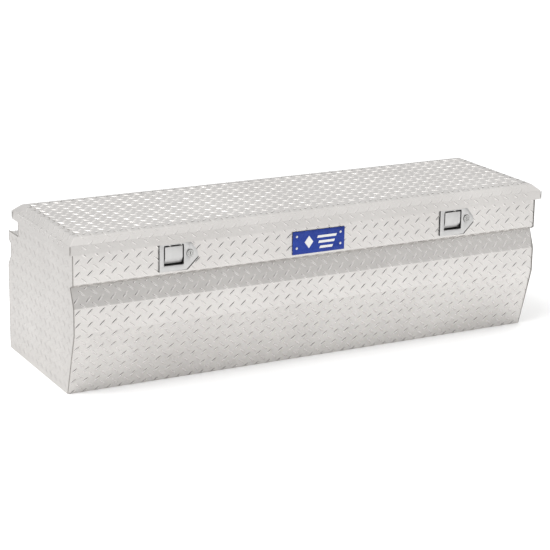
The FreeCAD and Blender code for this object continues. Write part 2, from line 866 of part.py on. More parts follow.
def make_latch_housing(label, centre):
    """The latch plate with its pressed cup, hinge holes, lock hole and weld studs."""
    body = new_body(label)
    plate = add_outline(sketch_on(body, "XZ_Plane", plate_back()), plate_outline())
    round_edges(body, pad(body, plate, size.plate_gauge), size.plate_gauge, size.plate_corner)
    half = size.window_half + size.cup_wall
    cup = sketch_on(body, "XZ_Plane", plate_back())
    low, high = size.window_bottom - size.cup_wall, size.window_top + size.cup_wall
    add_rectangle(cup, -half, half, low, high)
    pad(body, cup, size.cup_depth, reverse=True)
    studs = sketch_on(body, "XZ_Plane", plate_back())
    for across, height in stud_places():
        add_circle(studs, across, height, size.stud_radius)
    pad(body, studs, size.stud_length, reverse=True)
    window = sketch_on(body, "XZ_Plane", plate_front())
    add_rectangle(window, -size.window_half, size.window_half, size.window_bottom, size.window_top)
    hollow_depth = size.plate_gauge + size.cup_depth - size.cup_wall
    hollow = pocket(body, window, hollow_depth)
    round_edges(body, hollow, hollow_depth, size.window_corner)
    lock = sketch_on(body, "XZ_Plane", plate_front())
    add_circle(lock, size.lock_across, size.lock_height, size.barrel_radius + size.barrel_fit)
    pocket(body, lock, size.plate_gauge)
    pivot = sketch_on(body, "YZ_Plane")
    add_circle(pivot, -size.pivot_front, size.pivot_height, size.pivot_radius + size.pivot_fit)
    pocket(body, pivot, symmetric=True)
    shift_x(body, centre)


def make_latch_gasket(label, centre):
    """The rubber gasket between a latch plate and the box."""
    body = new_body(label)
    sheet_sketch = add_outline(sketch_on(body, "XZ_Plane", size.band_front), gasket_outline())
    sheet_pad = pad(body, sheet_sketch, size.gasket_gauge)
    round_edges(body, sheet_pad, size.gasket_gauge, size.plate_corner)
    holes = sketch_on(body, "XZ_Plane", plate_back())
    add_latch_holes(holes, as_size(0.0), size.gasket_clearance)
    pocket(body, holes, size.gasket_gauge)
    lever_notch(body, plate_back(), as_size(0.0), size.gasket_gauge)
    shift_x(body, centre)


def make_latch_paddle(label, centre):
    """The paddle: a flush plate that bends inwards at the bottom, with a hub at the top."""
    body = new_body(label)
    front, back = -size.paddle_front, -size.paddle_front + size.paddle_gauge
    face = sketch_on(body, "YZ_Plane")
    add_outline(
        face,
        [
            (front, size.paddle_top),
            (front, size.paddle_bend),
            (front + size.paddle_tuck, size.paddle_bottom),
            (back + size.paddle_tuck, size.paddle_bottom + size.paddle_curl),
            (back, size.paddle_bend + size.paddle_fold),
            (back, size.paddle_top),
        ],
    )
    pad(body, face, size.paddle_half * 2, symmetric=True)
    web = sketch_on(body, "YZ_Plane")
    low = size.pivot_height - size.web_drop
    add_rectangle(web, back - size.web_overlap, -size.pivot_front, low, size.paddle_top)
    pad(body, web, size.paddle_half * 2, symmetric=True)
    hub = sketch_on(body, "YZ_Plane")
    add_circle(hub, -size.pivot_front, size.pivot_height, size.hub_radius)
    pad(body, hub, size.paddle_half * 2, symmetric=True)
    bore = sketch_on(body, "YZ_Plane")
    add_circle(bore, -size.pivot_front, size.pivot_height, size.pivot_radius)
    pocket(body, bore, symmetric=True)
    shift_x(body, centre)


def make_paddle_pin(label, centre):
    """The pin that the paddle and its lever turn on together."""
    body = new_body(label)
    start = -size.window_half - size.pivot_end
    outline = sketch_on(body, "YZ_Plane", start)
    add_circle(outline, -size.pivot_front, size.pivot_height, size.pivot_radius)
    pad(body, outline, -start + size.lever_near + size.lever_gauge)
    shift_x(body, centre)


def add_slot(sketch, first, second, radius):
    """A straight slot with round ends between two centres."""
    ax, ay = first[0].value, first[1].value
    bx, by = second[0].value, second[1].value
    heading = math.atan2(by - ay, bx - ax)
    up = FreeCAD.Vector(0, 0, 1)
    near = Part.Circle(FreeCAD.Vector(ax, ay, 0), up, radius.value)
    far = Part.Circle(FreeCAD.Vector(bx, by, 0), up, radius.value)
    quarter = math.pi / 2
    one = sketch.addGeometry(Part.ArcOfCircle(near, heading + quarter, heading + 3 * quarter), False)
    two = sketch.addGeometry(Part.ArcOfCircle(far, heading - quarter, heading + quarter), False)
    low = Part.LineSegment(sketch.Geometry[one].EndPoint, sketch.Geometry[two].StartPoint)
    high = Part.LineSegment(sketch.Geometry[two].EndPoint, sketch.Geometry[one].StartPoint)
    lower = sketch.addGeometry(low, False)
    upper = sketch.addGeometry(high, False)
    ring = [one, lower, two, upper]
    for before, after in zip(ring, ring[1:] + ring[:1]):
        sketch.addConstraint(Sketcher.Constraint("Tangent", before, 2, after, 1))
    fix_point(sketch, one, 3, *first)
    fix_point(sketch, two, 3, *second)
    held = sketch.addConstraint(Sketcher.Constraint("Radius", one, radius.value))
    sketch.setExpression(f"Constraints[{held}]", radius.text)
    return sketch


def lever_pin_place():
    """Where the lever's pin stands at rest, in Y and Z."""
    return -size.pivot_front + size.lever_reach, size.pivot_height - size.lever_drop


def make_release_lever(label, centre):
    """The lever beside the cup that turns with the paddle and draws the bolt forward."""
    body = new_body(label)
    pivot = (-size.pivot_front, size.pivot_height)
    arm = sketch_on(body, "YZ_Plane", size.lever_near)
    add_slot(arm, pivot, lever_pin_place(), size.lever_radius)
    pad(body, arm, size.lever_gauge)
    pin = sketch_on(body, "YZ_Plane", size.lever_near + size.lever_gauge)
    add_circle(pin, *lever_pin_place(), size.lever_pin_radius)
    pad(body, pin, size.tab_gauge + size.lever_pin_end)
    bore = sketch_on(body, "YZ_Plane")
    add_circle(bore, *pivot, size.pivot_radius)
    pocket(body, bore, symmetric=True)
    shift_x(body, centre)


def make_latch_bolt(label, centre):
    """The sprung bolt with a bevelled nose, a hanging slotted tab and a bore for its spring."""
    body = new_body(label)
    block = sketch_on(body, "YZ_Plane", size.bolt_near)
    top = size.bolt_bottom + size.bolt_height
    add_outline(
        block,
        [
            (-size.bolt_front, size.bolt_bottom),
            (-size.bolt_nose, size.bolt_bottom),
            (-size.bolt_nose, top - size.nose_bevel),
            (-size.bolt_nose - size.nose_bevel, top),
            (-size.bolt_front, top),
        ],
    )
    pad(body, block, size.bolt_far - size.bolt_near)
    middle = lever_pin_place()[0]
    tab = sketch_on(body, "YZ_Plane", size.tab_near)
    left, right = middle - size.tab_half_depth, middle + size.tab_half_depth
    add_rectangle(tab, left, right, size.tab_bottom, size.bolt_bottom + size.tab_overlap)
    pad(body, tab, size.tab_gauge)
    slot = sketch_on(body, "YZ_Plane", size.tab_near)
    left, right = middle - size.slot_half_depth, middle + size.slot_half_depth
    add_rectangle(slot, left, right, size.slot_bottom, size.slot_top)
    pocket(body, slot, size.tab_gauge, reverse=True)
    bore = sketch_on(body, "XZ_Plane", size.bolt_front)
    add_circle(bore, bolt_middle(), size.bolt_bottom + size.bolt_height / 2, size.spring_hole_radius)
    pocket(body, bore, size.spring_hole_depth)
    shift_x(body, centre)


def bolt_middle():
    """The middle of the bolt's width, from the middle of the window."""
    return (size.bolt_near + size.bolt_far) / 2


def make_bolt_spring(label, centre):
    """The compression spring between the front sheet and the bottom of the bolt's bore."""
    front = -size.band_front + size.gauge + size.spring_gap
    back = -size.bolt_front + size.spring_hole_depth - size.spring_gap
    wire = size.spring_wire_radius
    length = back - front - wire * 2
    helix = doc.addObject("Part::Helix", f"{label}_path")
    bind(helix, "Pitch", length / size.spring_turns)
    bind(helix, "Height", length)
    bind(helix, "Radius", size.spring_coil_radius)
    section = doc.addObject("Part::Circle", f"{label}_section")
    bind(section, "Radius", wire)
    section.Placement = FreeCAD.Placement(
        FreeCAD.Vector(size.spring_coil_radius.value, 0, 0),
        FreeCAD.Rotation(FreeCAD.Vector(1, 0, 0), 90),
    )
    sweep = doc.addObject("Part::Sweep", label)
    sweep.Label = label
    sweep.Sections = [section]
    sweep.Spine = (helix, [])
    sweep.Solid = True
    sweep.Frenet = True
    sweep.Placement = FreeCAD.Placement(
        FreeCAD.Vector(
            (as_size(centre) + bolt_middle()).value,
            (front + wire).value,
            (size.bolt_bottom + size.bolt_height / 2).value,
        ),
        FreeCAD.Rotation(FreeCAD.Vector(1, 0, 0), -90),
    )


def make_latch_case(label, centre):
    """The channel under the rim flange that guides the bolt."""
    body = new_body(label)
    near = size.bolt_near - size.case_clearance
    far = size.bolt_far + size.case_clearance
    floor = size.bolt_bottom - size.case_clearance
    top = size.rim_top - size.gauge - size.case_gap
    wall = size.case_gauge
    channel = sketch_on(body, "XZ_Plane", size.band_front - size.gauge - size.case_gap)
    add_outline(
        channel,
        [
            (near - wall, floor - wall),
            (far + wall, floor - wall),
            (far + wall, top),
            (far, top),
            (far, floor),
            (near, floor),
            (near, top),
            (near - wall, top),
        ],
    )
    pad(body, channel, size.case_depth, reverse=True)
    slot = sketch_on(body, "XY_Plane", floor)
    rear = -size.band_front + size.gauge + size.case_gap + size.case_depth + size.slot_overrun
    front = lever_pin_place()[0] - size.tab_half_depth - size.tab_travel
    left = size.tab_near - size.tab_clearance
    right = size.tab_near + size.tab_gauge + size.tab_clearance
    add_rectangle(slot, left, right, front, rear)
    pocket(body, slot, wall)
    shift_x(body, centre)


def make_lock_barrel(label, centre):
    """The lock's fixed barrel with its round head."""
    body = new_body(label)
    start = plate_front()
    head = sketch_on(body, "XZ_Plane", start)
    add_circle(head, size.lock_across, size.lock_height, size.barrel_head_radius)
    pad(body, head, size.barrel_head_height)
    tube = sketch_on(body, "XZ_Plane", start)
    add_circle(tube, size.lock_across, size.lock_height, size.barrel_radius)
    pad(body, tube, size.barrel_length, reverse=True)
    bore = sketch_on(body, "XZ_Plane", start + size.barrel_head_height)
    add_circle(bore, size.lock_across, size.lock_height, size.plug_radius + size.plug_fit)
    pocket(body, bore)
    shift_x(body, centre)


def make_lock_plug(label, centre):
    """The plug that the key turns, with its key slot."""
    body = new_body(label)
    start = plate_front() + size.barrel_head_height - size.plug_recess
    core = sketch_on(body, "XZ_Plane", start)
    add_circle(core, size.lock_across, size.lock_height, size.plug_radius)
    pad(body, core, size.barrel_length + size.barrel_head_height, reverse=True)
    slot = sketch_on(body, "XZ_Plane", start)
    add_rectangle(
        slot,
        size.lock_across - size.key_slot_width / 2,
        size.lock_across + size.key_slot_width / 2,
        size.lock_height - size.key_slot_height / 2,
        size.lock_height + size.key_slot_height / 2,
    )
    pocket(body, slot, size.key_slot_depth)
    shift_x(body, centre)


def make_lock_cam(label, centre):
    """The cam on the back of the plug, hanging down while the latch is unlocked."""
    body = new_body(label)
    start = plate_front() - size.barrel_length - size.plug_recess
    outline = sketch_on(body, "XZ_Plane", start)
    top = (size.lock_across, size.lock_height)
    low = (size.lock_across, size.lock_height - size.cam_reach + size.cam_half_width)
    add_slot(outline, top, low, size.cam_half_width)
    pad(body, outline, size.cam_gauge, reverse=True)
    shift_x(body, centre)


def hex_nut(flat_radius, bore_radius, height):
    """A six-sided nut along +Y from the origin."""
    corners = []
    for i in range(7):
        turn = math.radians(60 * i)
        corners.append(FreeCAD.Vector(flat_radius * math.cos(turn), 0, flat_radius * math.sin(turn)))
    prism = Part.Face(Part.makePolygon(corners)).extrude(FreeCAD.Vector(0, height, 0))
    hole = Part.makeCylinder(bore_radius, height, FreeCAD.Vector(0, 0, 0), FreeCAD.Vector(0, 1, 0))
    return prism.cut(hole)


def make_latch_nuts():
    """The nuts behind the front sheet: one on each lock barrel and one on each weld stud."""
    back = -size.band_front + size.gauge
    lock_nut = hex_nut(
        size.lock_nut_radius.value, size.barrel_radius.value, size.nut_height.value
    )
    stud_nut = hex_nut(size.stud_nut_radius.value, size.stud_radius.value, size.nut_height.value)
    centres = (-size.latch_left_at, size.latch_right_at)
    places = [(c + size.lock_across, back, size.lock_height) for c in centres]
    place_group("lock_nuts", lock_nut, places)
    places = [(c + a, back, b) for c in centres for a, b in stud_places()]
    place_group("stud_nuts", stud_nut, places)


def make_striker(label, centre):
    """The catch plate that hangs from the lid's inner pan, with a window for the bolt."""
    body = new_body(label)
    line = [
        (-size.striker_front, size.striker_bottom),
        (-size.striker_front, size.pan_bottom),
        (-size.striker_front + size.striker_foot, size.pan_bottom),
    ]
    outline = sheet_outline(line, -size.striker_gauge)
    plate = add_outline(sketch_on(body, "YZ_Plane", size.striker_near), outline)
    pad(body, plate, size.striker_far - size.striker_near)
    window = sketch_on(body, "XZ_Plane", size.striker_front)
    add_rectangle(window, size.catch_near, size.catch_far, size.catch_bottom, size.catch_top)
    pocket(body, window, size.striker_gauge)
    shift_x(body, centre)


def make_striker_screws():
    """Button-headed screws that hold the strikers to the pan."""
    thick = size.screw_head_height.value
    head = Part.makeCylinder(size.screw_head_radius.value, thick, FreeCAD.Vector(0, 0, -thick))
    underside = (size.pan_bottom - size.striker_gauge).value
    deep = (-size.striker_front + size.screw_depth).value
    places = []
    for centre in (-size.latch_left_at, size.latch_right_at):
        for across in (size.striker_near + size.screw_inset, size.striker_far - size.screw_inset):
            places.append(((centre + across).value, deep, underside))
    place_group("striker_screws", head, places)


def strut_points():
    """The two strut pivots in Y and Z. Both lie one arm away from the hinge pin, so that the strut
    always turns by half the lid's angle against the box and against the lid."""
    hinge_y, hinge_z = hinge_line().value, size.hinge_height.value
    arm = size.strut_arm.value
    rise = size.strut_lid_height.value - hinge_z
    lid_angle = math.pi - math.asin(rise / arm)
    body_angle = lid_angle + math.radians(size.strut_spread.value)
    lid_end = (hinge_y + arm * math.cos(lid_angle), hinge_z + arm * math.sin(lid_angle))
    body_end = (hinge_y + arm * math.cos(body_angle), hinge_z + arm * math.sin(body_angle))
    return lid_end, body_end


def strut_placement(side, from_body):
    """Places a piece drawn along +Z so that it runs from one strut pivot towards the other."""
    lid_end, body_end = strut_points()
    start, stop = (body_end, lid_end) if from_body else (lid_end, body_end)
    turn = math.degrees(math.atan2(start[0] - stop[0], stop[1] - start[1]))
    across = size.strut_across.value * side
    spin = FreeCAD.Rotation(FreeCAD.Vector(0, 0, 1), 0 if side > 0 else 180)
    tilt = FreeCAD.Rotation(FreeCAD.Vector(1, 0, 0), turn)
    return FreeCAD.Placement(FreeCAD.Vector(across, start[0], start[1]), tilt.multiply(spin))


def make_strut_socket(label, side, from_body):
    """A ball socket with a stem along +Z. Its mouth faces the near end panel."""
    body = new_body(label)
    barrel = sketch_on(body, "YZ_Plane")
    add_circle(barrel, 0.0, 0.0, size.socket_radius)
    pad(body, barrel, size.socket_half_width * 2, symmetric=True)
    stem = sketch_on(body, "XY_Plane")
    add_circle(stem, 0.0, 0.0, size.socket_stem_radius)
    pad(body, stem, size.socket_stem)
    radius = size.ball_radius + size.ball_fit
    hollow = sketch_on(body, "XZ_Plane")
    centre = FreeCAD.Vector(0, 0, 0)
    circle = Part.Circle(centre, FreeCAD.Vector(0, 0, 1), radius.value)
    arc = hollow.addGeometry(Part.ArcOfCircle(circle, 0, math.pi), False)
    begin, end = hollow.Geometry[arc].StartPoint, hollow.Geometry[arc].EndPoint
    chord = hollow.addGeometry(Part.LineSegment(end, begin), False)
    hollow.addConstraint(Sketcher.Constraint("Coincident", arc, 2, chord, 1))
    hollow.addConstraint(Sketcher.Constraint("Coincident", arc, 1, chord, 2))
    fix_point(hollow, arc, 3, 0.0, 0.0)
    hollow.addConstraint(Sketcher.Constraint("PointOnObject", arc, 1, -1))
    hollow.addConstraint(Sketcher.Constraint("PointOnObject", arc, 2, -1))
    held = hollow.addConstraint(Sketcher.Constraint("Radius", arc, radius.value))
    hollow.setExpression(f"Constraints[{held}]", radius.text)
    doc.recompute()
    before = body.Shape.Volume
    groove = body.newObject("PartDesign::Groove", f"{label}_hollow")
    groove.Profile = hollow
    groove.ReferenceAxis = (hollow, ["H_Axis"])
    groove.Angle = 360.0
    doc.recompute()
    if not body.Shape.Volume < before:
        raise RuntimeError(f"the hollow of {label} cut nothing")
    mouth = sketch_on(body, "YZ_Plane")
    add_circle(mouth, 0.0, 0.0, size.socket_mouth_radius)
    pocket(body, mouth, reverse=True)
    body.Placement = strut_placement(side, from_body)


def tube_start():
    """How far from the lid pivot the cylinder begins."""
    return size.socket_stem


def make_strut_cylinder(label, side):
    """The strut's cylinder: a closed tube with a guide at its open end."""
    body = new_body(label)
    half = sketch_on(body, "XZ_Plane")
    start = tube_start()
    stop = start + size.tube_length
    inner = size.tube_radius - size.tube_wall
    hole = size.rod_radius + size.rod_fit
    add_outline(
        half,
        [
            (0.0, start),
            (size.tube_radius, start),
            (size.tube_radius, stop),
            (hole, stop),
            (hole, stop - size.tube_cap),
            (inner, stop - size.tube_cap),
            (inner, start + size.tube_cap),
            (0.0, start + size.tube_cap),
        ],
    )
    revolve(body, half)
    body.Placement = strut_placement(side, False)


def make_strut_rod(label, side):
    """The strut's rod, from its stem into the cylinder."""
    body = new_body(label)
    outline = sketch_on(body, "XY_Plane", size.socket_stem)
    add_circle(outline, 0.0, 0.0, size.rod_radius)
    pad(body, outline, size.rod_length)
    body.Placement = strut_placement(side, True)


def make_strut_piston(label, side):
    """The piston on the rod's inner end."""
    body = new_body(label)
    outline = sketch_on(body, "XY_Plane", size.socket_stem + size.rod_length)
    add_circle(outline, 0.0, 0.0, size.tube_radius - size.tube_wall - size.rod_fit)
    pad(body, outline, size.piston_height)
    body.Placement = strut_placement(side, True)


def ball_stud():
    """A ball stud along +X from the ball's centre: neck, collar and the end held in the bracket."""
    ball, neck = size.ball_radius.value, size.ball_neck_radius.value
    reach = (size.bracket_gap + size.bracket_gauge).value
    face = size.bracket_gap.value
    meet = math.sqrt(ball**2 - neck**2)
    edge = FreeCAD.Vector(meet, 0, neck)
    arc = Part.Arc(FreeCAD.Vector(-ball, 0, 0), FreeCAD.Vector(0, 0, ball), edge).toShape()
    line = [
        edge,
        FreeCAD.Vector(face - size.collar_height.value, 0, neck),
        FreeCAD.Vector(face - size.collar_height.value, 0, size.collar_radius.value),
        FreeCAD.Vector(face, 0, size.collar_radius.value),
        FreeCAD.Vector(face, 0, neck),
        FreeCAD.Vector(reach, 0, neck),
        FreeCAD.Vector(reach, 0, 0),
        FreeCAD.Vector(-ball, 0, 0),
    ]
    half = Part.Face(Part.Wire([arc] + Part.makePolygon(line).Edges))
    return half.revolve(FreeCAD.Vector(0, 0, 0), FreeCAD.Vector(1, 0, 0), 360)


def make_ball_studs(label, end):
    """Ball studs that reach from their brackets to the middle of the strut's sockets."""
    group = doc.addObject("Part::Feature", label)
    group.Label = label
    solids = []
    for side in (-1, 1):
        stud = ball_stud()
        if side < 0:
            stud.rotate(FreeCAD.Vector(0, 0, 0), FreeCAD.Vector(0, 0, 1), 180)
        stud.translate(FreeCAD.Vector(size.strut_across.value * side, *end))
        solids.append(stud)
    group.Shape = Part.makeCompound(solids)


def make_strut_lid_bracket(label, side):
    """An angle under the lid's pan that carries the strut's upper ball stud."""
    body = new_body(label)
    lid_end = strut_points()[0]
    face = size.strut_across + size.bracket_gap + size.bracket_gauge
    line = [
        (face, as_size(lid_end[1]) - size.bracket_drop),
        (face, size.pan_bottom),
        (face - size.bracket_foot, size.pan_bottom),
    ]
    if side < 0:
        line = [(-a, b) for a, b in line]
    outline = sheet_outline(line, size.bracket_gauge * side)
    plate = sketch_on(body, "XZ_Plane", -as_size(lid_end[0]))
    pad(body, add_outline(plate, outline), size.bracket_half_width * 2, symmetric=True)
    bore = sketch_on(body, "YZ_Plane")
    add_circle(bore, lid_end[0], lid_end[1], size.ball_neck_radius)
    pocket(body, bore, reverse=side > 0)


def make_strut_body_bracket(label, side):
    """A top-hat bracket on the end panel that carries the strut's lower ball stud."""
    body = new_body(label)
    body_end = strut_points()[1]
    face = size.strut_across + size.bracket_gap
    wall = size.body_length / 2 - size.gauge
    low = as_size(body_end[1]) - size.bracket_top_half
    high = as_size(body_end[1]) + size.bracket_top_half
    line = [
        (wall - size.bracket_gauge, low - size.bracket_foot),
        (wall - size.bracket_gauge, low),
        (face, low),
        (face, high),
        (wall - size.bracket_gauge, high),
        (wall - size.bracket_gauge, high + size.bracket_foot),
    ]
    if side < 0:
        line = [(-a, b) for a, b in line]
    outline = sheet_outline(line, size.bracket_gauge * -side)
    plate = sketch_on(body, "XZ_Plane", -as_size(body_end[0]))
    pad(body, add_outline(plate, outline), size.bracket_half_width * 2, symmetric=True)
    bore = sketch_on(body, "YZ_Plane")
    add_circle(bore, body_end[0], body_end[1], size.ball_neck_radius)
    pocket(body, bore, reverse=side > 0)


def make_badge():
    """A plain name plate on the front band, and its four rivets."""
    body = new_body("badge_plate")
    outline = sketch_on(body, "XZ_Plane", size.band_front)
    half = size.badge_half_length
    add_rectangle(outline, -half, half, size.badge_bottom, size.badge_top)
    pad(body, outline, size.badge_gauge)
    rivet = rivet_shape(
        size.badge_rivet_radius.value,
        size.badge_rivet_head.value,
        size.badge_rivet_crown.value,
        (size.badge_gauge + size.gauge).value,
        size.badge_rivet_tail.value,
        size.rivet_tail_length.value,
    )
    face = -size.band_front - size.badge_gauge
    places = []
    for across in (-size.badge_rivet_across, size.badge_rivet_across):
        for height in (size.badge_rivet_low, size.badge_rivet_high):
            places.append((across, face, height))
    place_group("badge_rivets", rivet, places)
    holes = [(across, height) for across, _, height in places]
    cut_holes("badge_plate", size.badge_rivet_radius, holes, face, size.badge_gauge)
    cut_holes("front_panel", size.badge_rivet_radius, holes, -size.band_front, size.gauge)


def make_latch(name, centre):
    """Every piece of one latch."""
    make_latch_housing(f"latch_housing_{name}", centre)
    make_latch_gasket(f"latch_gasket_{name}", centre)
    make_latch_paddle(f"latch_paddle_{name}", centre)
    make_paddle_pin(f"paddle_pin_{name}", centre)
    make_release_lever(f"release_lever_{name}", centre)
    make_latch_bolt(f"latch_bolt_{name}", centre)
    make_bolt_spring(f"bolt_spring_{name}", centre)
    make_latch_case(f"latch_case_{name}", centre)
    make_lock_barrel(f"lock_barrel_{name}", centre)
    make_lock_plug(f"lock_plug_{name}", centre)
    make_lock_cam(f"lock_cam_{name}", centre)
    make_striker(f"striker_{name}", centre)


def make_strut(name, side):
    """Every piece of one gas strut, with its brackets."""
    make_strut_cylinder(f"strut_cylinder_{name}", side)
    make_strut_socket(f"strut_lid_socket_{name}", side, False)
    make_strut_rod(f"strut_rod_{name}", side)
    make_strut_piston(f"strut_piston_{name}", side)
    make_strut_socket(f"strut_body_socket_{name}", side, True)
    make_strut_lid_bracket(f"strut_lid_bracket_{name}", side)
    make_strut_body_bracket(f"strut_body_bracket_{name}", side)


def build():
    """Makes every piece."""
    fill_sheet()
    make_front_panel()
    make_floor_panel()
    make_rear_panel()
    make_end_panel("end_panel_left", -1)
    make_end_panel("end_panel_right", 1)
    make_bulb_seal()
    make_lid_skin()
    make_lid_inner_pan()
    make_lid_foam_core()
    make_hinge_leaf("hinge_body_leaf", -1)
    make_hinge_leaf("hinge_lid_leaf", 1)
    make_hinge_pin()
    make_hinge_rivets()
    make_latch("left", -size.latch_left_at)
    make_latch("right", size.latch_right_at)
    make_latch_nuts()
    make_striker_screws()
    make_strut("left", -1)
    make_strut("right", 1)
    lid_end, body_end = strut_points()
    make_ball_studs("strut_lid_ball_studs", lid_end)
    make_ball_studs("strut_body_ball_studs", body_end)
    make_badge()
    doc.recompute()


def pieces():
    """The finished pieces: every body, every group of fasteners and every spring."""
    kinds = ("PartDesign::Body", "Part::Feature", "Part::Sweep")
    return [o for o in doc.Objects if o.TypeId in kinds]


def check_and_write():
    """Checks every object and writes each piece to its own STEP file."""
    failed = [item.Label for item in doc.Objects if {"Invalid", "Error"} & set(item.State)]
    if failed:
        raise RuntimeError(f"these failed: {failed}")
    os.makedirs("parts", exist_ok=True)
    for piece in pieces():
        if piece.Shape.isNull() or not piece.Shape.isValid():
            raise RuntimeError(f"{piece.Label} has no valid shape")
        piece.Shape.exportStep(f"parts/{piece.Label}.step")
        print(piece.Label, len(piece.Shape.Solids), round(piece.Shape.Volume))


build()
check_and_write()
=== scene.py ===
import json
import math

import bmesh
import bpy
import numpy as np
from mathutils import Matrix, Vector

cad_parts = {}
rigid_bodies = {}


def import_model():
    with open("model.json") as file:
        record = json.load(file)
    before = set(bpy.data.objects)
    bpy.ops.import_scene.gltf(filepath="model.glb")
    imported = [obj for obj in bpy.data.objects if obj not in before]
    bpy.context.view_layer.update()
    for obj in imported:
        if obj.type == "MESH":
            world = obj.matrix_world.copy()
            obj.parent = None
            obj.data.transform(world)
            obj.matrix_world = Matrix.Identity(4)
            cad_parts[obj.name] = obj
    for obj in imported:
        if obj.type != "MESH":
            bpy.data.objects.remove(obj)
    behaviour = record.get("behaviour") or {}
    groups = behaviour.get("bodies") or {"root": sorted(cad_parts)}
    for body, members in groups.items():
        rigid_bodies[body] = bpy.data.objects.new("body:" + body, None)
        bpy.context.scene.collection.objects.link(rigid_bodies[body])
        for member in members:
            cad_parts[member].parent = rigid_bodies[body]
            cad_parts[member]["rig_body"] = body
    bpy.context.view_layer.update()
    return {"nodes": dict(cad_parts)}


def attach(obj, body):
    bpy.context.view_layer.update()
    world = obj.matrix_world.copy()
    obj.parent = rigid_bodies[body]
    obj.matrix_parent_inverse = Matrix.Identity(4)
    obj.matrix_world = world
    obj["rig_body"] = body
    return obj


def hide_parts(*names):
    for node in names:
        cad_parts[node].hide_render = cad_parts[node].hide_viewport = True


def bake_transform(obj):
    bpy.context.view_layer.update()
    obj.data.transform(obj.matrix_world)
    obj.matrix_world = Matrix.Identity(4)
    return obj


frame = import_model()

MM = 0.001
SEED = np.random.default_rng(195)

# ------------------------------------------------------------------ sizes, in millimetres
# Names in _FRONT and _BACK are places along Y, those in _LOW, _HIGH, _TOP and _UP are heights.
# lid
LID_HALF = 762.0
LID_FRONT, LID_BACK = -256.0, 185.3
LIP_LOW, LIP_HIGH, LID_TOP = 409.0, 436.0, 455.0
BEVEL = 21.7
LID_FOLD = 3.0
LID_CORNER = 3.2
LID_RIVET_UP = 423.1

# body: band under the lid, slanted recess, upright face and toe in front, wall and ledge at the rear
GAUGE = 1.5
SHEET_HALF = 748.0
BODY_HALF = SHEET_HALF + GAUGE
RIM = 424.0
FLANGE = 26.0
BEND = 2.4
BAND_FRONT, BAND_LOW = -242, 321
RECESS_FRONT, RECESS_TOP = -223, 312
FACE_FRONT, FACE_TOP, FACE_LOW = -245, 257, 184
TOE_FRONT = -191
WALL_BACK, REAR_BACK = 170, 256
LEDGE_BACK, LEDGE_TOP = 246, 357
FRONT_LINE = [(TOE_FRONT, 0), (FACE_FRONT, FACE_LOW), (FACE_FRONT, FACE_TOP),
              (RECESS_FRONT, RECESS_TOP), (BAND_FRONT, BAND_LOW), (BAND_FRONT, RIM)]
REAR_LINE = [(WALL_BACK, RIM), (WALL_BACK, LEDGE_TOP), (LEDGE_BACK, LEDGE_TOP), (LEDGE_BACK, 330),
             (233, 324), (233, 286), (REAR_BACK, 255), (REAR_BACK, 0)]
BODY_RIVET_UP = 385.0
RIVET_RADIUS, RIVET_PITCH, RIVET_COUNT = 2.4, 120.0, 13

# latches and name plate, the PLATE and BADGE sizes with the clear strip around them
LATCH_AT = {"left": -454.0, "right": 452.0}
CUP_HALF, CUP_LOW, CUP_HIGH = 31.2, 343.8, 404.2
NOTCH_NEAR, NOTCH_FAR, NOTCH_LOW, NOTCH_HIGH = 31.0, 36.8, 388.0, 402.4
LOCK_ACROSS, LOCK_UP, LOCK_RADIUS = 49.0, 374.7, 8.4
PLATE_LEFT, PLATE_RIGHT, PLATE_LOW, PLATE_HIGH = 39, 66, 333, 402
BADGE_HALF, BADGE_HIGH, BADGE_FACE = 80, 392, -243.6
BADGE_RIVET_ACROSS, BADGE_RIVETS_UP, BADGE_RIVET_RADIUS = 71.0, (347.5, 381.5), 1.6

# tread pattern
PITCH = 35.56
BAR_LENGTH, BAR_WIDTH, BAR_HEIGHT = 25.5, 5.8, 1.35
BAR_TILT = math.radians(43.0)
BAR_SINK = 0.12
EDGE_CLEAR = 3.0
# how tall the bars stand against those of the face and band
RECESS_BARS, TOE_BARS = 0.6, 1.3
LID_TOP_BARS, LID_BEVEL_BARS, LID_FOLD_BARS, LID_LIP_BARS = 1.6, 1.15, 0.55, 0.14
LID_BAR_WIDTH = 1.15
# from the bevel's upper fold to the edge of the top's field of bars
LID_MARGIN = 12.0

# weld beads: radii, length of a ripple and sides
BODY_BEAD, LID_BEAD, BEAD_STEP, BEAD_SIDES = 1.6, 1.4, 3.2, 8

# edges turning by more degrees than this are shaded sharp
SHARP = 40.0


# ------------------------------------------------------------------ mesh helpers
def mesh_object(name, verts, faces, smooth=SHARP):
    """A mesh object from millimetre points, with its sharp edges kept sharp."""
    mesh = bpy.data.meshes.new(name)
    mesh.from_pydata([tuple(c * MM for c in v) for v in verts], [], faces)
    mesh.validate()
    obj = bpy.data.objects.new(name, mesh)
    bpy.context.scene.collection.objects.link(obj)
    recalc(obj)
    shade(obj, smooth)
    return obj


def recalc(obj):
    """Turns every face outwards."""
    bm = bmesh.new()
    bm.from_mesh(obj.data)
    bmesh.ops.recalc_face_normals(bm, faces=bm.faces)
    bm.to_mesh(obj.data)
    bm.free()


def shade(obj, angle):
    """Smooth shading, with edges sharper than an angle in degrees kept sharp."""
    bm = bmesh.new()
    bm.from_mesh(obj.data)
    limit = math.radians(angle)
    for face in bm.faces:
        face.smooth = True
    for edge in bm.edges:
        edge.smooth = len(edge.link_faces) == 2 and edge.calc_face_angle(0.0) < limit
    bm.to_mesh(obj.data)
    bm.free()


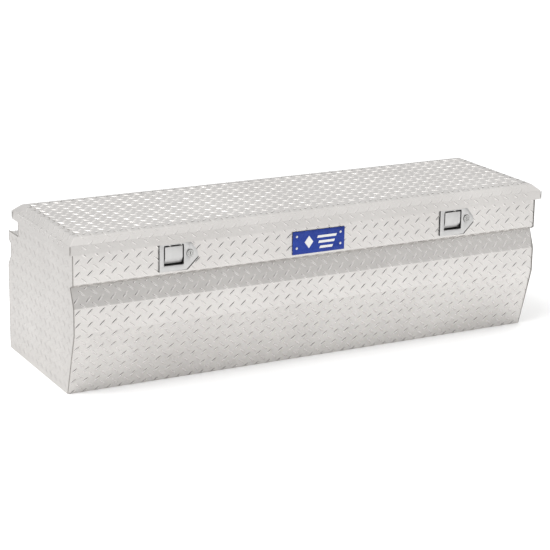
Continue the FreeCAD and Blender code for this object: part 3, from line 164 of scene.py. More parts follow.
def fillet(points, radius, steps=5):
    """An open polyline with its corners rounded. A fold never takes more than its share of a side."""
    most_of_side = 0.45
    pts = [Vector(p) for p in points]
    out = [tuple(pts[0])]
    for before, p, after in zip(pts, pts[1:], pts[2:]):
        a, b = before - p, after - p
        turn = math.pi - a.angle(b)
        reach = min(radius * math.tan(turn / 2), a.length * most_of_side, b.length * most_of_side)
        real = reach / math.tan(turn / 2)
        start, stop = p + a.normalized() * reach, p + b.normalized() * reach
        middle = p + (a.normalized() + b.normalized()).normalized() * (real / math.cos(turn / 2))
        for k in range(steps + 1):
            out.append(tuple(middle + (start - middle).slerp(stop - middle, k / steps)))
    return out + [tuple(pts[-1])]


def normals(line):
    """Unit normals on the left of a polyline, one per point."""
    p = np.array(line, float)
    d = np.diff(p, axis=0)
    d /= np.linalg.norm(d, axis=1)[:, None]
    n = np.stack([-d[:, 1], d[:, 0]], 1)
    n = np.vstack([n[:1], n[:-1] + n[1:], n[-1:]])
    return n / np.linalg.norm(n, axis=1)[:, None]


def offset(line, distance):
    """A polyline moved to its left by a distance, with mitred corners."""
    p = np.array(line, float)
    d = np.diff(p, axis=0)
    d /= np.linalg.norm(d, axis=1)[:, None]
    n = np.stack([-d[:, 1], d[:, 0]], 1)
    before, after = np.vstack([n[:1], n]), np.vstack([n, n[-1:]])
    scale = 1.0 + (before * after).sum(1)
    return p + distance * (before + after) / scale[:, None]


def folded_sheet(name, outer, gauge_side, half):
    """A sheet folded along X with rounded bends, and the line of its outer face.
    gauge_side is +1 with the metal on the line's left and -1 on its right."""
    middle = offset(outer, gauge_side * GAUGE / 2)
    middle = fillet([tuple(p) for p in middle], BEND)
    outside = offset(middle, -gauge_side * GAUGE / 2)
    inside_face = offset(middle, gauge_side * GAUGE / 2)
    ring = [tuple(p) for p in outside] + [tuple(p) for p in inside_face[::-1]]
    return extrude_x(name, ring, -half, half), outside


def extrude_x(name, ring, low, high):
    """A solid from a closed outline in Y and Z, drawn out along X."""
    count = len(ring)
    verts = [(low, y, z) for y, z in ring] + [(high, y, z) for y, z in ring]
    faces = [(i, (i + 1) % count, count + (i + 1) % count, count + i) for i in range(count)]
    faces += [tuple(range(count - 1, -1, -1)), tuple(range(count, 2 * count))]
    return mesh_object(name, verts, faces)


def cut(obj, cutters):
    """Cuts solids out of an object and removes them."""
    for cutter in cutters:
        modifier = obj.modifiers.new("cut", "BOOLEAN")
        modifier.operation = "DIFFERENCE"
        modifier.solver = "EXACT"
        modifier.object = cutter
    bpy.context.view_layer.update()
    evaluated = obj.evaluated_get(bpy.context.evaluated_depsgraph_get())
    result = bpy.data.meshes.new_from_object(evaluated)
    obj.modifiers.clear()
    old, obj.data = obj.data, result
    bpy.data.meshes.remove(old)
    for cutter in cutters:
        bpy.data.objects.remove(cutter)
    shade(obj, SHARP)


def block(low, high):
    """A plain block used as a cutter."""
    x0, y0, z0 = low
    x1, y1, z1 = high
    verts = [(x, y, z) for x in (x0, x1) for y in (y0, y1) for z in (z0, z1)]
    faces = [(0, 1, 3, 2), (4, 6, 7, 5), (0, 4, 5, 1), (2, 3, 7, 6), (0, 2, 6, 4), (1, 5, 7, 3)]
    return mesh_object("cutter", verts, faces)


def rod_y(x, z, radius, front, back, sides=24):
    """A plain round cutter along Y."""
    turns = [2 * math.pi * i / sides for i in range(sides)]
    ring = [(radius * math.cos(turn), radius * math.sin(turn)) for turn in turns]
    verts = [(x + a, front, z + b) for a, b in ring] + [(x + a, back, z + b) for a, b in ring]
    faces = [(i, (i + 1) % sides, sides + (i + 1) % sides, sides + i) for i in range(sides)]
    faces += [tuple(range(sides - 1, -1, -1)), tuple(range(sides, 2 * sides))]
    return mesh_object("cutter", verts, faces)


def softened(node, name, width, segments=2):
    """A copy of a CAD node with its facets joined and its sharp edges rounded off."""
    same_place, flat, sharp_edge = 0.002 * MM, math.radians(1.0), math.radians(32.0)
    source = frame["nodes"][node]
    mesh = source.data.copy()
    mesh.name = name
    obj = bpy.data.objects.new(name, mesh)
    bpy.context.scene.collection.objects.link(obj)
    bm = bmesh.new()
    bm.from_mesh(mesh)
    bmesh.ops.remove_doubles(bm, verts=bm.verts, dist=same_place)
    bmesh.ops.dissolve_limit(
        bm, angle_limit=flat, verts=bm.verts, edges=bm.edges, delimit={"NORMAL"}
    )
    bmesh.ops.recalc_face_normals(bm, faces=bm.faces)
    for face in bm.faces:
        face.smooth = True
    bm.to_mesh(mesh)
    bm.free()
    bevel = obj.modifiers.new("soft", "BEVEL")
    bevel.width = width * MM
    bevel.segments = segments
    bevel.limit_method = "ANGLE"
    bevel.angle_limit = sharp_edge
    bevel.use_clamp_overlap = True
    bevel.harden_normals = True
    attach(obj, source["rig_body"])
    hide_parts(node)
    return obj


# ------------------------------------------------------------------ tread bars
def bar_template():
    """One raised bar: a long lens, tallest along its middle, in (along, across, height)."""
    along = [-1.0, -0.9, -0.7, -0.35, 0.0, 0.35, 0.7, 0.9, 1.0]
    across = [-1.0, -0.62, 0.0, 0.62, 1.0]
    tip, taper, blunt, ends, crown = 0.25, 2.6, 0.62, 3.4, 2.1
    rows = []
    for u in along:
        half = max(BAR_WIDTH / 2 * (1.0 - abs(u) ** taper) ** blunt, tip)
        rise = BAR_HEIGHT * (1.0 - abs(u) ** ends)
        for v in across:
            rows.append((u * BAR_LENGTH / 2, v * half, rise * (1.0 - abs(v) ** crown) - BAR_SINK))
    width = len(across)
    faces = []
    for i in range(len(along) - 1):
        for j in range(width - 1):
            a = i * width + j
            faces.append((a, a + width, a + width + 1, a + 1))
    return np.array(rows), faces


BAR, BAR_FACES = bar_template()
# of the bar's nine rows of five points: its tips, the ends of its middle row and that row's centre
BAR_CHECKS = [0, 2, 20, 22, 24, 42, 44]


def bars_at(centres, tilts, wide=1.0):
    """Bars laid on a flat sheet: arrays of (a, b, height), one block of points per bar.
    Each is a little off its place, length and height."""
    stray, longer, taller = 0.25, 0.03, 0.06
    out = []
    for (a, b), tilt in zip(centres, tilts):
        c, s = math.cos(tilt), math.sin(tilt)
        da, db = SEED.normal(0, stray, 2)
        scale = 1.0 + SEED.normal(0, longer)
        u, v = BAR[:, 0] * scale, BAR[:, 1] * wide
        out.append(np.stack([a + da + u * c - v * s, b + db + u * s + v * c,
                             BAR[:, 2] * (1.0 + SEED.normal(0, taller))], 1))
    return out


def lattice(a0, a1, b0, b1, phase_a, phase_b):
    """Centres and tilts of the bars of both leanings inside a rectangle of flat sheet."""
    centres, tilts = [], []
    for lean, half in ((1, 0.0), (-1, 0.5)):
        start_a = phase_a + half * PITCH
        start_b = phase_b + half * PITCH
        i0, i1 = math.floor((a0 - start_a) / PITCH), math.ceil((a1 - start_a) / PITCH)
        j0, j1 = math.floor((b0 - start_b) / PITCH), math.ceil((b1 - start_b) / PITCH)
        for i in range(i0, i1 + 1):
            for j in range(j0, j1 + 1):
                centres.append((start_a + i * PITCH, start_b + j * PITCH))
                tilts.append(lean * BAR_TILT)
    return centres, tilts


def clipped(blocks, low_a, high_a, low_b, high_b, least=0.35):
    """Bars cut off at the sheet's edges. A bar with too little left is dropped."""
    out = []
    for block_points in blocks:
        p = block_points.copy()
        a = np.clip(p[:, 0], low_a, high_a)
        b = np.clip(p[:, 1], low_b, high_b)
        untouched = (a == p[:, 0]) & (b == p[:, 1])
        if untouched.mean() < least:
            continue
        p[:, 0], p[:, 1] = a, b
        out.append(p)
    return out


def tread(name, blocks, place, body, material):
    """One piece of bars. place turns (a, b, height) into a point of the object."""
    verts, faces = [], []
    for block_points in blocks:
        start = len(verts)
        verts.extend(place(block_points))
        faces.extend(tuple(start + k for k in f) for f in BAR_FACES)
    mesh = bpy.data.meshes.new(name)
    mesh.from_pydata([tuple(c * MM for c in v) for v in verts], [], faces)
    for polygon in mesh.polygons:
        polygon.use_smooth = True
    obj = bpy.data.objects.new(name, mesh)
    bpy.context.scene.collection.objects.link(obj)
    keep(obj, body, None, "tread_plate", material)


class Profile:
    """The outer line of a folded sheet, for laying bars along it by the length of sheet used up.
    outward is +1 with the outside on the line's left and -1 on its right."""

    def __init__(self, line, outward=1):
        self.line = np.array(line, float)
        step = np.linalg.norm(np.diff(self.line, axis=0), axis=1)
        self.run = np.concatenate([[0.0], np.cumsum(step)])
        self.normal = normals(self.line) * outward

    def at(self, run):
        """Points and outward normals at lengths along the line."""
        y = np.interp(run, self.run, self.line[:, 0])
        z = np.interp(run, self.run, self.line[:, 1])
        ny = np.interp(run, self.run, self.normal[:, 0])
        nz = np.interp(run, self.run, self.normal[:, 1])
        size = np.hypot(ny, nz)
        return y, z, ny / size, nz / size

    def run_at(self, y, z):
        """The length along the line nearest to a point."""
        return float(self.run[np.argmin(np.hypot(self.line[:, 0] - y, self.line[:, 1] - z))])


def lay_along_x(profile):
    """Placement of bars on a sheet folded along X."""

    def place(p):
        y, z, ny, nz = profile.at(p[:, 1])
        return np.stack([p[:, 0], y + ny * p[:, 2], z + nz * p[:, 2]], 1)

    return place


# ------------------------------------------------------------------ materials
class Nodes:
    """A short way to write a node tree. place holds the coordinates its patterns lie in."""

    def __init__(self, tree, space):
        self.tree = tree
        self.place = self.add("ShaderNodeTexCoord").outputs[space]

    def add(self, kind, **settings):
        """A new node with some of its properties set."""
        node = self.tree.nodes.new(kind)
        for key, value in settings.items():
            setattr(node, key, value)
        return node

    def link(self, source, target):
        """Links an output to an input."""
        self.tree.links.new(source, target)

    def value(self, socket, given):
        """Sets a socket to a number or colour, or links a source to it."""
        if isinstance(given, bpy.types.NodeSocket):
            self.link(given, socket)
        else:
            socket.default_value = given

    def colour(self, socket, given):
        """Sets a socket to a colour of three numbers, or links a source to it."""
        self.value(socket, given if isinstance(given, bpy.types.NodeSocket) else (*given, 1.0))

    def stretched(self, scale, turn=(0.0, 0.0, 0.0)):
        """The object's coordinates scaled along each axis."""
        mapping = self.add("ShaderNodeMapping")
        self.link(self.place, mapping.inputs["Vector"])
        mapping.inputs["Scale"].default_value = scale
        mapping.inputs["Rotation"].default_value = turn
        return mapping.outputs["Vector"]

    def noise(self, scale, detail=3.0, rough=0.5, where=None, distortion=0.0):
        """A grey noise pattern."""
        node = self.add("ShaderNodeTexNoise")
        self.link(where or self.place, node.inputs["Vector"])
        node.inputs["Scale"].default_value = scale
        node.inputs["Detail"].default_value = detail
        node.inputs["Roughness"].default_value = rough
        node.inputs["Distortion"].default_value = distortion
        return node.outputs["Fac"]

    def ramp(self, source, stops):
        """A grey ramp from (position, value) pairs."""
        node = self.add("ShaderNodeValToRGB")
        self.link(source, node.inputs["Fac"])
        ramp = node.color_ramp
        while len(ramp.elements) < len(stops):
            ramp.elements.new(0.5)
        for element, (position, value) in zip(ramp.elements, stops):
            element.position = position
            element.color = (value, value, value, 1.0)
        return node.outputs["Color"]

    def mix(self, kind, factor, a, b):
        """Two colours mixed, multiplied or added."""
        node = self.add("ShaderNodeMix", data_type="RGBA", blend_type=kind)
        self.value(node.inputs["Factor"], factor)
        self.colour(node.inputs["A"], a)
        self.colour(node.inputs["B"], b)
        return node.outputs["Result"]

    def math(self, operation, a, b):
        """A sum, product or quotient of two values."""
        node = self.add("ShaderNodeMath", operation=operation)
        self.value(node.inputs[0], a)
        self.value(node.inputs[1], b)
        return node.outputs[0]

    def bump(self, height, strength, distance, below=None):
        """A bump from a pattern of heights, on top of another bump if there is one."""
        node = self.add("ShaderNodeBump")
        self.link(height, node.inputs["Height"])
        node.inputs["Strength"].default_value = strength
        node.inputs["Distance"].default_value = distance
        if below is not None:
            self.link(below, node.inputs["Normal"])
        return node.outputs["Normal"]


class Surface(Nodes):
    """A new material's node tree, with patterns in the piece's own coordinates."""

    def __init__(self, name):
        self.material = bpy.data.materials.new(name)
        self.material.use_nodes = True
        super().__init__(self.material.node_tree, "Object")
        self.shader = self.tree.nodes["Principled BSDF"]

    def finish(self, base, roughness, normal, metallic=0.0, **others):
        """Links the results to the shader. Further settings have its names, with _ for a space."""
        self.colour(self.shader.inputs["Base Color"], base)
        self.value(self.shader.inputs["Roughness"], roughness)
        self.shader.inputs["Metallic"].default_value = metallic
        self.link(normal, self.shader.inputs["Normal"])
        for key, setting in others.items():
            self.shader.inputs[key.replace("_", " ")].default_value = setting
        return self.material


def rolled_aluminium(name, dark, light, rough_low, rough_high, wave=0.6, grain=(1.0, 1.0, 1.0)):
    """Bright rolled sheet: faint waviness, a fine grain, handling smudges and light scratches.
    wave is how wavy it is, and grain how the fine grain is stretched along each axis."""
    n = Surface(name)
    broad = n.noise(3.2, 3.0, 0.55)
    cloud = n.noise(26.0, 4.0, 0.6, distortion=0.4)
    fine = n.noise(900.0, 2.0, 0.5, n.stretched(grain))
    tone = n.mix("MIX", n.ramp(broad, [(0.3, 0.0), (0.7, 1.0)]), dark, light)
    tone = n.mix("MULTIPLY", 0.5, tone, n.ramp(cloud, [(0.25, 0.9), (0.7, 1.0)]))
    tone = n.mix("MULTIPLY", 0.35, tone, n.ramp(fine, [(0.3, 0.86), (0.65, 1.0)]))
    scratch_field = n.noise(55.0, 6.0, 0.7, n.stretched((1.0, 9.0, 9.0), (0.3, 0.1, 0.5)))
    scratch = n.ramp(scratch_field, [(0.60, 0.0), (0.63, 1.0), (0.66, 0.0)])
    spread = n.math("ADD", n.math("MULTIPLY", cloud, 0.6), n.math("MULTIPLY", fine, 0.4))
    rough = n.ramp(spread, [(0.25, rough_low), (0.75, rough_high)])
    rough = n.mix("ADD", 0.10, rough, scratch)
    low = n.bump(n.noise(7.0, 2.0, 0.4), 0.25 * wave, 0.004)
    mid = n.bump(n.noise(120.0, 3.0, 0.6), 0.10, 0.0006, low)
    top = n.bump(n.noise(1500.0, 2.0, 0.6), 0.14, 0.00012, mid)
    return n.finish(tone, rough, top, 1.0)


def brushed(name, dark, light, rough_low, rough_high, along):
    """Brushed or plated metal with its brush lines along one axis."""
    n = Surface(name)
    scale = tuple(1.0 if axis == along else 28.0 for axis in "xyz")
    lines = n.noise(70.0, 5.0, 0.65, n.stretched(scale))
    cloud = n.noise(60.0, 3.0, 0.5)
    tone = n.mix("MIX", n.ramp(lines, [(0.3, 0.0), (0.7, 1.0)]), dark, light)
    tone = n.mix("MULTIPLY", 0.4, tone, n.ramp(cloud, [(0.3, 0.85), (0.65, 1.0)]))
    rough = n.ramp(n.math("ADD", n.math("MULTIPLY", lines, 0.5), n.math("MULTIPLY", cloud, 0.5)),
                   [(0.3, rough_low), (0.7, rough_high)])
    return n.finish(tone, rough, n.bump(lines, 0.12, 0.0002), 1.0)


def zinc(name):
    """Zinc-plated steel: a patchy spangle with a dull film."""
    n = Surface(name)
    cell = n.add("ShaderNodeTexVoronoi", feature="F1")
    n.link(n.place, cell.inputs["Vector"])
    cell.inputs["Scale"].default_value = 160.0
    patch = n.noise(90.0, 3.0, 0.6)
    tone = n.mix("MIX", cell.outputs["Distance"], (0.50, 0.50, 0.49), (0.68, 0.68, 0.67))
    tone = n.mix("MULTIPLY", 0.6, tone, n.ramp(patch, [(0.3, 0.75), (0.7, 1.0)]))
    rough = n.ramp(patch, [(0.25, 0.3), (0.75, 0.52)])
    return n.finish(tone, rough, n.bump(patch, 0.15, 0.0003), 1.0)


def matt(name, dark, light, rough_low, rough_high, grain, depth):
    """Rubber, plastic, paint, foam or a flat painted shade: mottled colour and a fine moulded grain."""
    n = Surface(name)
    cloud = n.noise(grain * 0.08, 3.0, 0.55)
    fine = n.noise(grain, 3.0, 0.6)
    tone = n.mix("MIX", n.ramp(cloud, [(0.3, 0.0), (0.7, 1.0)]), dark, light)
    rough = n.ramp(fine, [(0.3, rough_low), (0.7, rough_high)])
    return n.finish(tone, rough, n.bump(fine, 0.3, depth))


TREAD = rolled_aluminium("tread_sheet", (0.600, 0.580, 0.562), (0.660, 0.642, 0.622), 0.25, 0.35)
BAR_METAL = rolled_aluminium("tread_bar", (0.615, 0.597, 0.579), (0.675, 0.657, 0.638),
                             0.16, 0.24, 0.0)
# painted highlight: a lighter copy of the bar metal for the bars on the lid's top
LID_BAR_HIGHLIGHT_METAL = rolled_aluminium("lid_bar_painted_highlight", (0.72, 0.70, 0.68), (0.79, 0.77, 0.75),
                                 0.22, 0.30, 0.0)
RECESS_METAL = rolled_aluminium("tread_recess", (0.600, 0.580, 0.562), (0.660, 0.642, 0.622),
                                0.44, 0.58)
# painted shade: a darker copy of the tread metal for the end panels, their bars and the lid's end faces
END_SHADED_METAL = rolled_aluminium("tread_end_painted_shade", (0.548, 0.531, 0.515), (0.612, 0.595, 0.578), 0.36, 0.48)
PAN_METAL = rolled_aluminium("mill_sheet", (0.62, 0.62, 0.61), (0.72, 0.72, 0.71), 0.34, 0.5, 0.5,
                             (0.05, 1.0, 1.0))
WELD = rolled_aluminium("weld_bead", (0.22, 0.21, 0.20), (0.42, 0.40, 0.38), 0.40, 0.6)
RIVET = rolled_aluminium("rivet_metal", (0.70, 0.70, 0.69), (0.80, 0.80, 0.79), 0.22, 0.36)
STAINLESS = brushed("stainless", (0.500, 0.497, 0.492), (0.570, 0.566, 0.560), 0.26, 0.40, "x")
LOCK_METAL = brushed("lock_metal", (0.40, 0.40, 0.39), (0.52, 0.52, 0.51), 0.16, 0.28, "z")
# painted shade: a dark copy of the lock metal for the lock's side, bevel and bore faces
LOCK_RIM_SHADE = brushed("lock_rim_painted_shade", (0.16, 0.16, 0.16), (0.26, 0.26, 0.25), 0.16, 0.28, "z")
CHROME = brushed("chrome", (0.68, 0.68, 0.69), (0.78, 0.78, 0.79), 0.08, 0.16, "x")
PLATED = zinc("zinc_plate")
RUBBER = matt("rubber", (0.012, 0.012, 0.012), (0.03, 0.03, 0.03), 0.62, 0.8, 1400.0, 0.0002)
PAINT = matt("black_paint", (0.010, 0.010, 0.011), (0.022, 0.022, 0.024), 0.22, 0.34, 700.0, 0.00005)
# painted shade: a near-black matt for the cup's inside and the paddle's top edge, standing in for the
# shadow in those gaps
CUP_PAINTED_SHADE = matt("cup_shade", (0.010, 0.010, 0.010), (0.030, 0.030, 0.029), 0.55, 0.75, 800.0, 0.0001)
PLASTIC = matt("black_plastic", (0.016, 0.016, 0.017), (0.035, 0.035, 0.036), 0.42, 0.6, 900.0,
               0.00015)
FOAM = matt("foam", (0.62, 0.52, 0.30), (0.74, 0.64, 0.40), 0.85, 0.95, 500.0, 0.0006)


def paint(obj, *materials):
    """Gives a piece its materials. Faces keep the first one unless pick_faces sets another."""
    obj.data.materials.clear()
    for material in materials:
        obj.data.materials.append(material)


def pick_faces(obj, test):
    """The faces that pass a test take the piece's second material."""
    for polygon in obj.data.polygons:
        polygon.material_index = 1 if test(polygon) else 0


def keep(obj, body, node, slot, *materials):
    """Sets a piece's body, hides the CAD node it stands for if it stands for one, and sets its
    materials. Its slot is not used.
    """
    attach(obj, body)
    if node is not None:
        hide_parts(node)
    paint(obj, *materials)


def dress(obj, slot, *materials):
    """Sets the materials of a piece that already has its body and node. Its slot is not used."""
    paint(obj, *materials)


# ------------------------------------------------------------------ camera
def make_camera():
    """The camera: three turns, a place and a long lens. Metres, and yaw to the right of +Y."""
    place = (-2.4763, -4.5938, 1.7247)
    yaw, pitch, roll = math.radians(28.243), math.radians(16.327), math.radians(0.9226)
    flat = math.cos(pitch)
    look = Vector((math.sin(yaw) * flat, math.cos(yaw) * flat, -math.sin(pitch)))
    right = Vector((math.cos(yaw), -math.sin(yaw), 0.0))
    up = right.cross(look)
    turned_right = right * math.cos(roll) + up * math.sin(roll)
    turned_up = up * math.cos(roll) - right * math.sin(roll)
    data = bpy.data.cameras.new("camera")
    data.lens = 119.44
    data.sensor_width = 36.0
    data.clip_end = 200.0
    camera = bpy.data.objects.new("camera", data)
    bpy.context.scene.collection.objects.link(camera)
    rows = [(turned_right[k], turned_up[k], -look[k], place[k]) for k in range(3)]
    camera.matrix_world = Matrix(rows + [(0.0, 0.0, 0.0, 1.0)])
    bpy.context.scene.camera = camera


make_camera()


# ------------------------------------------------------------------ floor, world and lights
def make_floor():
    """A pale floor with a faint painted glow of its own that lifts the shadows near the box, and
    painted shade that makes it a little darker away from the box.
    """
    far, half, below = 4000.0, 60000.0, 0.2
    n = Surface("floor")
    tone = n.mix("MIX", n.noise(0.6, 3.0, 0.5), (0.925, 0.925, 0.925), (0.945, 0.945, 0.945))
    away = n.add("ShaderNodeVectorMath", operation="LENGTH")
    n.link(n.place, away.inputs[0])
    reach = n.math("DIVIDE", away.outputs["Value"], far * MM)
    # painted shade: the floor grows darker away from the box, which dims the far floor that the metal
    # mirrors
    tone = n.mix("MULTIPLY", 1.0, tone, n.ramp(reach, [(0.22, 1.0), (0.42, 0.87)]))
    # the emission is a painted glow that lifts the floor's shadows near the box
    n.finish(tone, 0.9, n.bump(n.noise(40.0, 2.0, 0.5), 0.05, 0.001), Specular_IOR_Level=0.05,
             Emission_Color=(1.0, 0.99, 0.98, 1.0), Emission_Strength=0.10)
    corners = [(-half, -half, 0), (half, -half, 0), (half, half, 0), (-half, half, 0)]
    obj = mesh_object("floor", corners, [(0, 1, 2, 3)])
    obj.location.z = -below * MM
    paint(obj, n.material)


def make_world():
    """A pale studio: brightest overhead, dimmer at the horizon, a very little dimmer behind, and with
    a dark screen to the front left that gives the bars their dark sides."""
    world = bpy.data.worlds.new("studio")
    world.use_nodes = True
    bpy.context.scene.world = world
    n = Nodes(world.node_tree, "Generated")

    def nearness(direction):
        """The cosine of the angle to a direction."""
        node = n.add("ShaderNodeVectorMath", operation="DOT_PRODUCT")
        n.link(n.place, node.inputs[0])
        node.inputs[1].default_value = Vector(direction).normalized()
        return node.outputs["Value"]

    parts = n.add("ShaderNodeSeparateXYZ")
    n.link(n.place, parts.inputs["Vector"])
    height = n.ramp(parts.outputs["Z"], [(0.0, 0.54), (0.16, 0.64), (0.40, 0.90), (0.8, 1.0)])
    screen = n.ramp(nearness((-0.40, -0.82, 0.40)),
                    [(0.72, 1.0), (0.84, 0.62), (0.91, 0.24), (0.96, 0.06)])
    back = n.ramp(nearness((0.45, 0.86, 0.24)), [(0.78, 1.0), (0.92, 0.98), (1.0, 0.96)])
    sky = n.tree.nodes["Background"]
    n.link(n.math("MULTIPLY", n.math("MULTIPLY", height, screen), back), sky.inputs["Color"])
    sky.inputs["Strength"].default_value = 1.2


def make_light():
    """One broad soft light, high to the left."""
    light = bpy.data.lights.new("overhead", "SUN")
    light.energy = 1.66
    light.angle = math.radians(44.0)
    obj = bpy.data.objects.new("overhead", light)
    bpy.context.scene.collection.objects.link(obj)
    obj.rotation_euler = Vector((-0.62, -0.14, 0.77)).to_track_quat("Z", "Y").to_euler()


bpy.context.scene.view_settings.view_transform = "Standard"
make_floor()
make_world()
make_light()


# ------------------------------------------------------------------ body sheets
def latch_cutters():
    """Cutters for the latch cups, their levers and locks, and the name plate's rivets."""
    margin, front, back = 1.0, BAND_FRONT - 8, BAND_FRONT + 6
    out = []
    for centre in LATCH_AT.values():
        reach = CUP_HALF + margin
        low, high = CUP_LOW - margin, CUP_HIGH + margin
        out.append(block((centre - reach, front, low), (centre + reach, back, high)))
        out.append(rod_y(centre + LOCK_ACROSS, LOCK_UP, LOCK_RADIUS + margin, front, back))
        near, far = centre + NOTCH_NEAR, centre + NOTCH_FAR
        out.append(block((near, front, NOTCH_LOW), (far, back, NOTCH_HIGH)))
    for across in (-BADGE_RIVET_ACROSS, BADGE_RIVET_ACROSS):
        out += [rod_y(across, up, BADGE_RIVET_RADIUS, front, back, 12) for up in BADGE_RIVETS_UP]
    return out


def rivet_cutters(up, wall):
    """Cutters for the row of hinge rivets through a wall that faces back."""
    middle = (RIVET_COUNT - 1) / 2
    places = [(i - middle) * RIVET_PITCH for i in range(RIVET_COUNT)]
    return [rod_y(x, up, RIVET_RADIUS, wall - 5, wall + 5, 12) for x in places]


def on_plate(a, z):
    """True where a latch plate or the name plate covers the front band."""
    for centre in LATCH_AT.values():
        if centre - PLATE_LEFT < a < centre + PLATE_RIGHT and PLATE_LOW < z < PLATE_HIGH:
            return True
    return abs(a) < BADGE_HALF and PLATE_LOW < z < BADGE_HIGH


def make_front():
    """The front sheet. Its bars are in two fields, below and above the recess's upper fold, each with
    a row of / bars at a known height."""
    lower_row, upper_row, lower_start, upper_start = 243.9, 387.5, 10.0, 12.5
    fold_clear, below_rim = 2.0, 3.5
    recess_low, recess_high = FACE_TOP + 2, RECESS_TOP + 4
    outer = FRONT_LINE + [(BAND_FRONT + FLANGE, RIM)]
    sheet, line = folded_sheet("front_sheet", outer[::-1], 1, SHEET_HALF)
    cut(sheet, latch_cutters())
    keep(sheet, "box", "front_panel", "tread_plate", TREAD, RECESS_METAL)
    pick_faces(sheet, lambda face: (
        recess_low < face.center.z / MM < RECESS_TOP - 1 and face.normal.y < -0.5))
    profile = Profile(line[::-1])
    split = profile.run_at(RECESS_FRONT, RECESS_TOP)
    top = profile.run_at(BAND_FRONT, RIM - below_rim)
    lower_phase = profile.run_at(FACE_FRONT, FACE_LOW) + lower_row - FACE_LOW
    upper_phase = profile.run_at(BAND_FRONT, RIM) - (RIM - upper_row)
    face_bars, recess_bars = [], []
    for low, high, phase_a, phase_b in (
        (fold_clear, split - fold_clear, lower_start, lower_phase),
        (split + fold_clear, top, upper_start, upper_phase),
    ):
        for bar in field(low, high, phase_a, phase_b):
            z = float(profile.at(bar[:, 1].mean())[1])
            if on_plate(bar[:, 0].mean(), z):
                continue
            in_recess = recess_low < z < recess_high
            bar[:, 2] *= RECESS_BARS if in_recess else TOE_BARS if z < FACE_LOW else 1.0
            (recess_bars if in_recess else face_bars).append(bar)
    tread("front_tread", face_bars, lay_along_x(profile), "box", BAR_METAL)
    tread("recess_tread", recess_bars, lay_along_x(profile), "box", BAR_METAL)


def field(low, high, phase_a, phase_b):
    """The bars on a body sheet between two lengths along its line."""
    bars = bars_at(*lattice(-SHEET_HALF, SHEET_HALF, low, high, phase_a, phase_b))
    return clipped(bars, -SHEET_HALF + EDGE_CLEAR, SHEET_HALF - EDGE_CLEAR, low, high)


def make_rear():
    """The rear sheet. Its bars start just above the ledge, since the hinge covers the wall."""
    above_ledge, fold_clear, start_x, start_run = 8.0, 2.0, 9.0, 11.0
    sheet, line = folded_sheet("rear_sheet", [(WALL_BACK - FLANGE, RIM)] + REAR_LINE, -1, SHEET_HALF)
    cut(sheet, rivet_cutters(BODY_RIVET_UP, WALL_BACK))
    keep(sheet, "box", "rear_panel", "tread_plate", TREAD)
    profile = Profile(line)
    low = profile.run_at(WALL_BACK, LEDGE_TOP + above_ledge) - fold_clear
    bars = field(low, profile.run[-1] - fold_clear, start_x, start_run)
    tread("rear_tread", bars, lay_along_x(profile), "box", BAR_METAL)


def inside(y, z, line, margin):
    """True if a point is inside a closed outline and clear of its edge."""
    count = len(line)
    hit = False
    near = math.inf
    for i in range(count):
        (y0, z0), (y1, z1) = line[i], line[(i + 1) % count]
        if (z0 > z) != (z1 > z) and y < (y1 - y0) * (z - z0) / (z1 - z0) + y0:
            hit = not hit
        span = (y1 - y0) ** 2 + (z1 - z0) ** 2
        t = max(0.0, min(1.0, ((y - y0) * (y1 - y0) + (z - z0) * (z1 - z0)) / span))
        near = min(near, math.hypot(y - y0 - t * (y1 - y0), z - z0 - t * (z1 - z0)))
    return hit and near > margin


def make_end(side):
    """One end panel, its top flange and its bars. A bar that comes near the edge is left out."""
    gap, edge_clear, start_y, start_z = 0.5, 2.5, 4.0, 20.0
    name = "right" if side > 0 else "left"
    outline = FRONT_LINE + REAR_LINE
    outer, inner = side * BODY_HALF, side * SHEET_HALF
    panel = extrude_x(f"end_sheet_{name}", outline, *sorted((outer, inner)))
    keep(panel, "box", f"end_panel_{name}", "tread_plate", END_SHADED_METAL)
    x0, x1 = sorted((inner, side * (BODY_HALF - FLANGE)))
    y0, y1 = BAND_FRONT + FLANGE + gap, WALL_BACK - FLANGE - gap
    ring = [(y0, RIM - GAUGE), (y1, RIM - GAUGE), (y1, RIM), (y0, RIM)]
    flange = extrude_x(f"end_flange_{name}", ring, x0, x1)
    keep(flange, "box", None, "tread_plate", TREAD)
    bars = [
        bar for bar in bars_at(*lattice(-REAR_BACK, REAR_BACK, 0, RIM, start_y, start_z))
        if all(inside(y, z, outline, edge_clear) for y, z in bar[BAR_CHECKS, :2])
    ]

    def place(p):
        return np.stack([outer + side * p[:, 2], p[:, 0], p[:, 1]], 1)

    tread(f"end_tread_{name}", bars, place, "box", END_SHADED_METAL)


